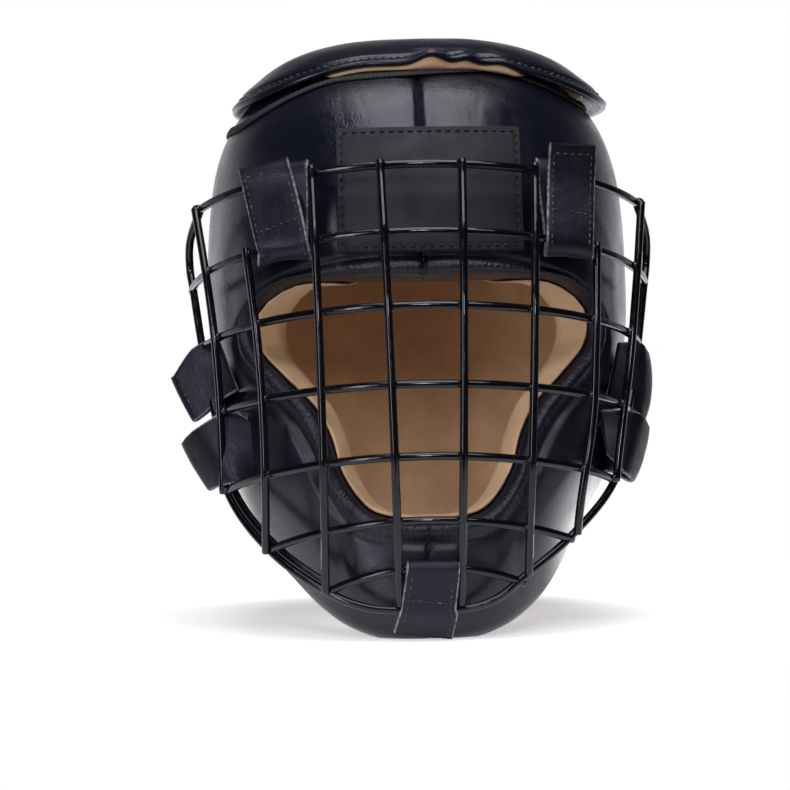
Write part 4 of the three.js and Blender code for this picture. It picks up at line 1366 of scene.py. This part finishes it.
def cross_stitches(parts, strap, share, face=-1, inset=3):
    """Stitches across a strap at a share of its length."""
    at = int(share * (len(strap.line) - 1))
    reach = np.linspace(-1, 1, CROSS_POINTS)[:, None] * (strap.breadth[at] / 2 - inset)
    out = strap.normals[at] * face
    line = strap.line[at] + strap.sideways[at] * reach + out * STRAP_THICKNESS / 2
    line = line + (1 - (2 * reach / strap.breadth[at]) ** 2) * strap.push[at]
    add_stitches(parts, line, np.tile(out, (CROSS_POINTS, 1)), **STRAP_THREAD)


def strap_course(keys, ways, widths):
    """A smooth path through a strap's key points, with its ways across and its widths along it."""
    path = smooth_curve(keys, STRAP_CURVE_STEPS)
    places = np.arange(len(keys))
    wanted = np.linspace(0, len(keys) - 1, len(path))
    return path, table_at(wanted, places, ways), np.interp(wanted, places, widths)


STRAP_MATERIALS = [STRAP_LEATHER, RAW_EDGE, GREY_THREAD]


def hoop_tangent(hoop, x):
    return unit(dome_point(hoop, x + 1, 0) - dome_point(hoop, x - 1, 0))


# The top straps by distances from the middle: of the inner run, of the fold round the lower hoop and of the
# panel's top. over_top is how far the panel goes past the upper hoop, and facing how much it turns to the
# front.
TOP_STRAPS = (
    Sizes(name="left", side=LEFT, inner_x=65.5, low_x=66.5, top_x=73.5, over_top=8.5, width=26, facing=0.4),
    Sizes(name="right", side=RIGHT, inner_x=66, low_x=69, top_x=71, over_top=15, width=24, facing=0.55),
)
TOP_FOLD_RADIUS = 5.9
TOP_INNER_WIDTH = 22.5
TOP_CLEARANCE = 0.9  # between the layers of the strap
# Shares of the strap's length between which its edges are sewn, and of a row across it
TOP_STITCHES = Sizes(start=0.66, across=0.77, end=0.975, inset=2.6)
ANCHOR_Z = (196, 210)
FOLD_STEPS = 8
LEAN_ROWS = (2, 6)  # of the front's key points, between which it takes up its lean


def build_top_strap(row):
    upper_hoop, lower_hoop = HOOPS[0], HOOPS[1]
    inner_x, low_x, top_x = (row.side * x for x in (row.inner_x, row.low_x, row.top_x))
    upper = dome_point(upper_hoop, inner_x, -WELD_OFFSET)
    lower = dome_point(lower_hoop, low_x, -WELD_OFFSET)
    anchors = [raised(surface_points(np.array((inner_x, 0, z)), FORWARD), STRAP_SEAT) for z in ANCHOR_Z]
    outer_radius = TOP_FOLD_RADIUS + STRAP_THICKNESS + TOP_CLEARANCE
    panel = dome_point(upper_hoop, top_x, -WELD_OFFSET) + FORWARD * outer_radius
    rear = [anchors, fold(upper, FORWARD, UP, TOP_FOLD_RADIUS, 190, 0, FOLD_STEPS)]
    front = np.vstack([
        fold(lower, FORWARD, UP, TOP_FOLD_RADIUS, 170, 370, FOLD_STEPS), panel[None],
        panel[None] + UP * row.over_top,
    ])
    lean = (top_x - low_x) / (panel[2] - lower[2])
    turned = smoothstep(*LEAN_ROWS, np.arange(len(front)))
    front[:, 0] = low_x + lean * (front[:, 2] - lower[2]) * turned
    keys = np.vstack([*rear, front])
    facing = np.full((len(keys), 1), row.facing)
    facing[:len(anchors)] = 0
    upper_across = hoop_tangent(upper_hoop, inner_x)
    lower_across = hoop_tangent(lower_hoop, low_x)
    share = np.clip((upper[2] - keys[:, 2]) / (upper[2] - lower[2]), 0, 1)[:, None]
    across = unit(upper_across * (1 - share) + lower_across * share)
    across = unit(across * (1 - facing) + np.array((1, 0, 0)) * facing)
    width = np.full(len(keys), TOP_INNER_WIDTH)
    width[-len(front):] = row.width
    path, across, width = strap_course(keys, across, width)
    parts = MeshParts()
    strap = add_strap(parts, path, across, width, 30 + row.side)
    edge_stitches(parts, strap, TOP_STITCHES.start, TOP_STITCHES.end, TOP_STITCHES.inset)
    for share in (TOP_STITCHES.end, TOP_STITCHES.across):
        cross_stitches(parts, strap, share, inset=TOP_STITCHES.inset)
    name = f"strap_top_{row.name}"
    piece = parts.piece(name, STRAP_MATERIALS, "strap_leather")
    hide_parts(name)


for row in TOP_STRAPS:
    build_top_strap(row)

CHIN_STRAP = Sizes(top_x=1.5, foot_x=-3.4, width=25, foot_width=28.5, foot_z=2.6, tail_z=27,
                   fold_radius=2.7, roll_back=0.7, seat=0.3, narrowed_at=4)
CHIN_STITCHES = Sizes(start=0.03, across=0.4, end=0.62)


def build_chin_strap():
    top_x, foot_x = CHIN_STRAP.top_x, CHIN_STRAP.foot_x
    upper = dome_point(HOOPS[-1], top_x, -WELD_OFFSET)
    lower = dome_point(CAGE_FOOT, (top_x + foot_x) / 2, -WELD_OFFSET)
    foot = surface_points(np.array((foot_x, FAN.centre[1], CHIN_STRAP.foot_z)), FORWARD)
    foot = foot + FORWARD * (STRAP_THICKNESS / 2 + CHIN_STRAP.seat - CHIN_STRAP.roll_back)
    radius = CHIN_STRAP.fold_radius
    keys = np.vstack([
        foot[None],
        fold(lower, FORWARD, UP, radius, -50, 0, 2),
        fold(upper, FORWARD, UP, radius, 0, 180, FOLD_STEPS),
        np.array((top_x, upper[1] + radius, CHIN_STRAP.tail_z))[None],
    ])
    path = smooth_curve(keys, STRAP_CURVE_STEPS)
    width = np.interp(np.linspace(0, len(keys) - 1, len(path)), (0, CHIN_STRAP.narrowed_at),
                      (CHIN_STRAP.foot_width, CHIN_STRAP.width))
    across = np.tile(np.array((1.0, 0, 0)), (len(path), 1))
    parts = MeshParts()
    strap = add_strap(parts, path, across, width, 41)
    edge_stitches(parts, strap, CHIN_STITCHES.start, CHIN_STITCHES.end)
    cross_stitches(parts, strap, CHIN_STITCHES.across)
    piece = parts.piece("strap_chin", STRAP_MATERIALS, "strap_leather")
    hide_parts("strap_chin")


build_chin_strap()

# Each side strap by the corners of the panel that it shows: its fold beyond the side wire and its end
# on the cheek. bulge pushes the middle of the fold out, and rise lifts the upper edge at the wire.
SIDE_STRAPS = (
    Sizes(name="upper_left", side=LEFT, fold_top=(-123.8, -60, 124.3), fold_low=(-112.9, -66, 102.1),
          end_top=(-100.3, -65, 145), end_low=(-90.2, -77, 118.2), bulge=0.6, rise=5),
    Sizes(name="lower_left", side=LEFT, fold_top=(-118.1, -72, 92.3), fold_low=(-104.5, -79, 69),
          end_top=(-81.5, -87, 113), end_low=(-81, -89, 69), bulge=1, rise=5.5),
    Sizes(name="upper_right", side=RIGHT, fold_top=(112.3, -58, 133.5), fold_low=(109.3, -64, 98.4),
          end_top=(97, -66, 138.5), end_low=(90, -75, 112), bulge=3.8, rise=0),
    Sizes(name="lower_right", side=RIGHT, fold_top=(110.4, -70, 96.4), fold_low=(101, -82, 69.8),
          end_top=(85.3, -84, 105.7), end_low=(88.5, -88, 84), bulge=2.8, rise=2),
)
BULGE_REACH = 18  # how far from the fold its bulge dies out
SIDE_RADIUS = 1.7
SIDE_WIRE_CLEARANCE = 3.6
SIDE_ANCHOR = Sizes(near=20, far=42, width=18)
FOLD_STITCHES = Sizes(from_fold=5, inset=1.6)
ROUND_ENDED = ("lower_left",)
ROUND_END = Sizes(length=12, least=0.03)


def side_wire(side, z):
    right = OUTER_WIRE[len(OUTER_WIRE) // 2:]
    order = np.argsort(right[:, 2])
    return table_at([z], right[order, 2], right[order])[0] * (side, 1, 1)


def build_side_strap(row):
    fold_top, fold_low, end_top, end_low = (
        np.array(p, float) for p in (row.fold_top, row.fold_low, row.end_top, row.end_low))
    crest = (fold_top + fold_low) / 2
    end = (end_top + end_low) / 2
    wire = side_wire(row.side, (crest[2] + end[2]) / 2)
    across = unit(fold_top - fold_low)
    out = crest - wire
    out = unit(out - across * (out @ across))
    ahead = np.cross(across, out)
    ahead = ahead if ahead[1] < 0 else -ahead

    def on_shell(behind):
        base = surface_points(np.array((0, wire[1] + behind, crest[2])), np.array((row.side, 0, 0.0)))
        normal = surface_normals(base)
        return askew(raised(base, STRAP_SEAT)), unit(UP - normal * (UP @ normal))

    far, far_across = on_shell(SIDE_ANCHOR.far)
    near, near_across = on_shell(SIDE_ANCHOR.near)
    turn = crest - out * (SIDE_RADIUS + STRAP_THICKNESS / 2)
    bend = fold(turn, ahead, out, SIDE_RADIUS, 180, 0, 6)
    front = wire + ahead * SIDE_WIRE_CLEARANCE + across * row.rise / 2
    keys = np.vstack([far, near, wire - ahead * SIDE_WIRE_CLEARANCE, bend, front, end])
    ways = np.tile(across, (len(keys), 1))
    ways[0] = far_across
    ways[1] = near_across
    ways[-1] = unit(end_top - end_low)
    breadth = np.full(len(keys), np.linalg.norm(fold_top - fold_low))
    breadth[:2] = SIDE_ANCHOR.width
    breadth[-2] += row.rise
    breadth[-1] = np.linalg.norm(end_top - end_low)
    path, ways, width = strap_course(keys, ways, breadth)
    lengths = lengths_along(path)
    if row.name in ROUND_ENDED:
        share = np.clip(1 - (lengths[-1] - lengths) / ROUND_END.length, 0, 1)
        width = width * np.sqrt(np.maximum(1 - share**2, ROUND_END.least))
    parts = MeshParts()
    from_crest = np.linalg.norm(path - crest, axis=1)[:, None]
    push = out * row.bulge * smoothstep(BULGE_REACH, 0, from_crest)
    strap = add_strap(parts, path, ways, width, 50 + len(row.name) * row.side, square=False, push=push)
    start = (lengths[np.argmax(path @ out)] + FOLD_STITCHES.from_fold) / lengths[-1]
    cross_stitches(parts, strap, start, face=-row.side, inset=FOLD_STITCHES.inset)
    name = f"strap_side_{row.name}"
    piece = parts.piece(name, STRAP_MATERIALS, "strap_leather")
    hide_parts(name)


for row in SIDE_STRAPS:
    build_side_strap(row)

# Floor, light and camera

FLOOR_HALF = 0.3
# Distances in metres over which the floor turns into the white backdrop, and its least glow
FLOOR_FADE = Sizes(start=0.08, end=0.28, least=0.5)
# The part of the floor that glows more, a painted glow that stands in for a bright light low at the back
# right: towards the backdrop and the right
FLOOR_PAINTED_GLOW = Sizes(towards=(0.35, 0.94, 0), start=0.0, end=0.14, strength=2)
FLOOR_COLOUR = (0.9, 0.9, 0.9)
# The surroundings by their reach towards the backdrop, which is a little to the left, and by their height
BACKDROP = Sizes(towards=(-0.12, 0.99, 0), start=0.1, end=0.75, least=0.015, most=0.8)
CEILING = Sizes(towards=(0, 0, 1), start=-0.25, end=0.55, low=1.8, high=0.05)
ROOM_COLOUR = (0.95, 0.94, 1, 1)
WHITE = (1, 1, 1, 1)
# Area lights by degrees from the front and up, and by metres, with powers in watts
LIGHT_AIM = (0, 0, 0.16)
LIGHTS = (
    Sizes(name="front_top_light", azimuth=10, elevation=56, distance=1.5, width=1.3, height=0.5, power=10),
    Sizes(name="overhead_light", azimuth=3, elevation=86, distance=1.3, width=0.8, height=1.1, power=9),
    Sizes(name="front_fill_light", azimuth=0, elevation=20, distance=2.2, width=0.25, height=0.5, power=9),
    Sizes(name="left_strip_light", azimuth=-36, elevation=8, distance=1.6, width=0.3, height=1.2, power=8),
)
# The camera by degrees and millimetres, with its lens and shift in pixels of the frame
FRAME_PIXELS = 790
CAMERA = Sizes(azimuth=-1.8, elevation=1.33, roll=-0.88, distance=1500, focal_pixels=2912.6,
               shift_pixels=(22.92, -8.03), target=np.array((0, 0, 116.5)))


def from_front(azimuth, elevation):
    """The direction at the given degrees from the front and up."""
    turn, rise = math.radians(azimuth), math.radians(elevation)
    return np.array((math.sin(turn) * math.cos(rise), -math.cos(turn) * math.cos(rise), math.sin(rise)))


def build_floor():
    mesh = bpy.data.meshes.new("floor")
    corners = [(x * FLOOR_HALF, y * FLOOR_HALF, 0) for x, y in ((-1, -1), (1, -1), (1, 1), (-1, 1))]
    mesh.from_pydata(corners, [], [(0, 1, 2, 3)])
    finish = Finish("pale_floor", FLOOR_COLOUR, 0.9, Specular_IOR_Level=0, Emission_Color=WHITE)
    distance = finish.add("ShaderNodeVectorMath", operation="LENGTH")
    finish.link(finish.place, distance.inputs[0])
    distance = distance.outputs["Value"]
    fade = finish.ramp(distance, FLOOR_FADE.start, FLOOR_FADE.end)
    finish.set("Base Color", finish.mix_colour(fade, FLOOR_COLOUR, (0, 0, 0)))
    glow = finish.ramp(distance, FLOOR_FADE.start, FLOOR_FADE.end, FLOOR_FADE.least, 1)
    # Painted glow: the floor towards the backdrop and the right glows brighter, standing in for a light
    lit = finish.ramp(finish.reach(finish.place, FLOOR_PAINTED_GLOW.towards), FLOOR_PAINTED_GLOW.start, FLOOR_PAINTED_GLOW.end,
                      0, FLOOR_PAINTED_GLOW.strength)
    finish.set("Emission Strength", finish.math("ADD", glow, finish.math("MULTIPLY", lit, fade)))
    mesh.materials.append(finish.material)
    floor = bpy.data.objects.new("floor", mesh)
    bpy.context.scene.collection.objects.link(floor)


def build_world():
    """White surroundings, darker on the camera's side, as in a studio with a lit backdrop."""
    world = bpy.data.worlds.new("studio")
    bpy.context.scene.world = world
    world.use_nodes = True
    nodes = Nodes(world.node_tree)
    nodes.tree.nodes.clear()
    place = nodes.add("ShaderNodeTexCoord").outputs["Generated"]
    shade = nodes.ramp(nodes.reach(place, BACKDROP.towards), BACKDROP.start, BACKDROP.end,
                       BACKDROP.least, BACKDROP.most)
    ceiling = nodes.ramp(nodes.reach(place, CEILING.towards), CEILING.start, CEILING.end,
                         CEILING.low, CEILING.high)
    lit = nodes.add("ShaderNodeBackground", Color=ROOM_COLOUR)
    nodes.link(nodes.math("MULTIPLY", shade, ceiling), lit.inputs["Strength"])
    seen = nodes.add("ShaderNodeBackground", Color=WHITE)
    path = nodes.add("ShaderNodeLightPath")
    mix = nodes.add("ShaderNodeMixShader")
    nodes.link(path.outputs["Is Camera Ray"], mix.inputs["Fac"])
    nodes.link(lit.outputs["Background"], mix.inputs[1])
    nodes.link(seen.outputs["Background"], mix.inputs[2])
    output = nodes.add("ShaderNodeOutputWorld")
    nodes.link(mix.outputs["Shader"], output.inputs["Surface"])


def add_softbox(row):
    """An area light that faces the middle of the helmet."""
    light = bpy.data.lights.new(row.name, "AREA")
    light.shape = "RECTANGLE"
    light.size = row.width
    light.size_y = row.height
    light.energy = row.power
    lamp = bpy.data.objects.new(row.name, light)
    bpy.context.scene.collection.objects.link(lamp)
    back = Vector(from_front(row.azimuth, row.elevation))
    lamp.location = Vector(LIGHT_AIM) + back * row.distance
    lamp.rotation_mode = "QUATERNION"
    lamp.rotation_quaternion = (-back).to_track_quat("-Z", "Y")


def build_camera():
    data = bpy.data.cameras.new("camera")
    camera = bpy.data.objects.new("camera", data)
    bpy.context.scene.collection.objects.link(camera)
    bpy.context.scene.camera = camera
    turn, roll = math.radians(CAMERA.azimuth), math.radians(CAMERA.roll)
    back = from_front(CAMERA.azimuth, CAMERA.elevation)
    level = np.array((math.cos(turn), math.sin(turn), 0))
    upright = np.cross(back, level)
    right = math.cos(roll) * level + math.sin(roll) * upright
    up = -math.sin(roll) * level + math.cos(roll) * upright
    location = to_frame(CAMERA.target + back * CAMERA.distance)
    camera.matrix_world = Matrix((*zip(right, up, back, location), (0, 0, 0, 1)))
    data.sensor_width = 36
    data.lens = CAMERA.focal_pixels / FRAME_PIXELS * data.sensor_width
    data.shift_x = -CAMERA.shift_pixels[0] / FRAME_PIXELS
    data.shift_y = CAMERA.shift_pixels[1] / FRAME_PIXELS
    data.clip_start = 0.05
    data.clip_end = 100


build_floor()
build_world()
for row in LIGHTS:
    add_softbox(row)
build_camera()
bpy.context.scene.view_settings.view_transform = "Standard"
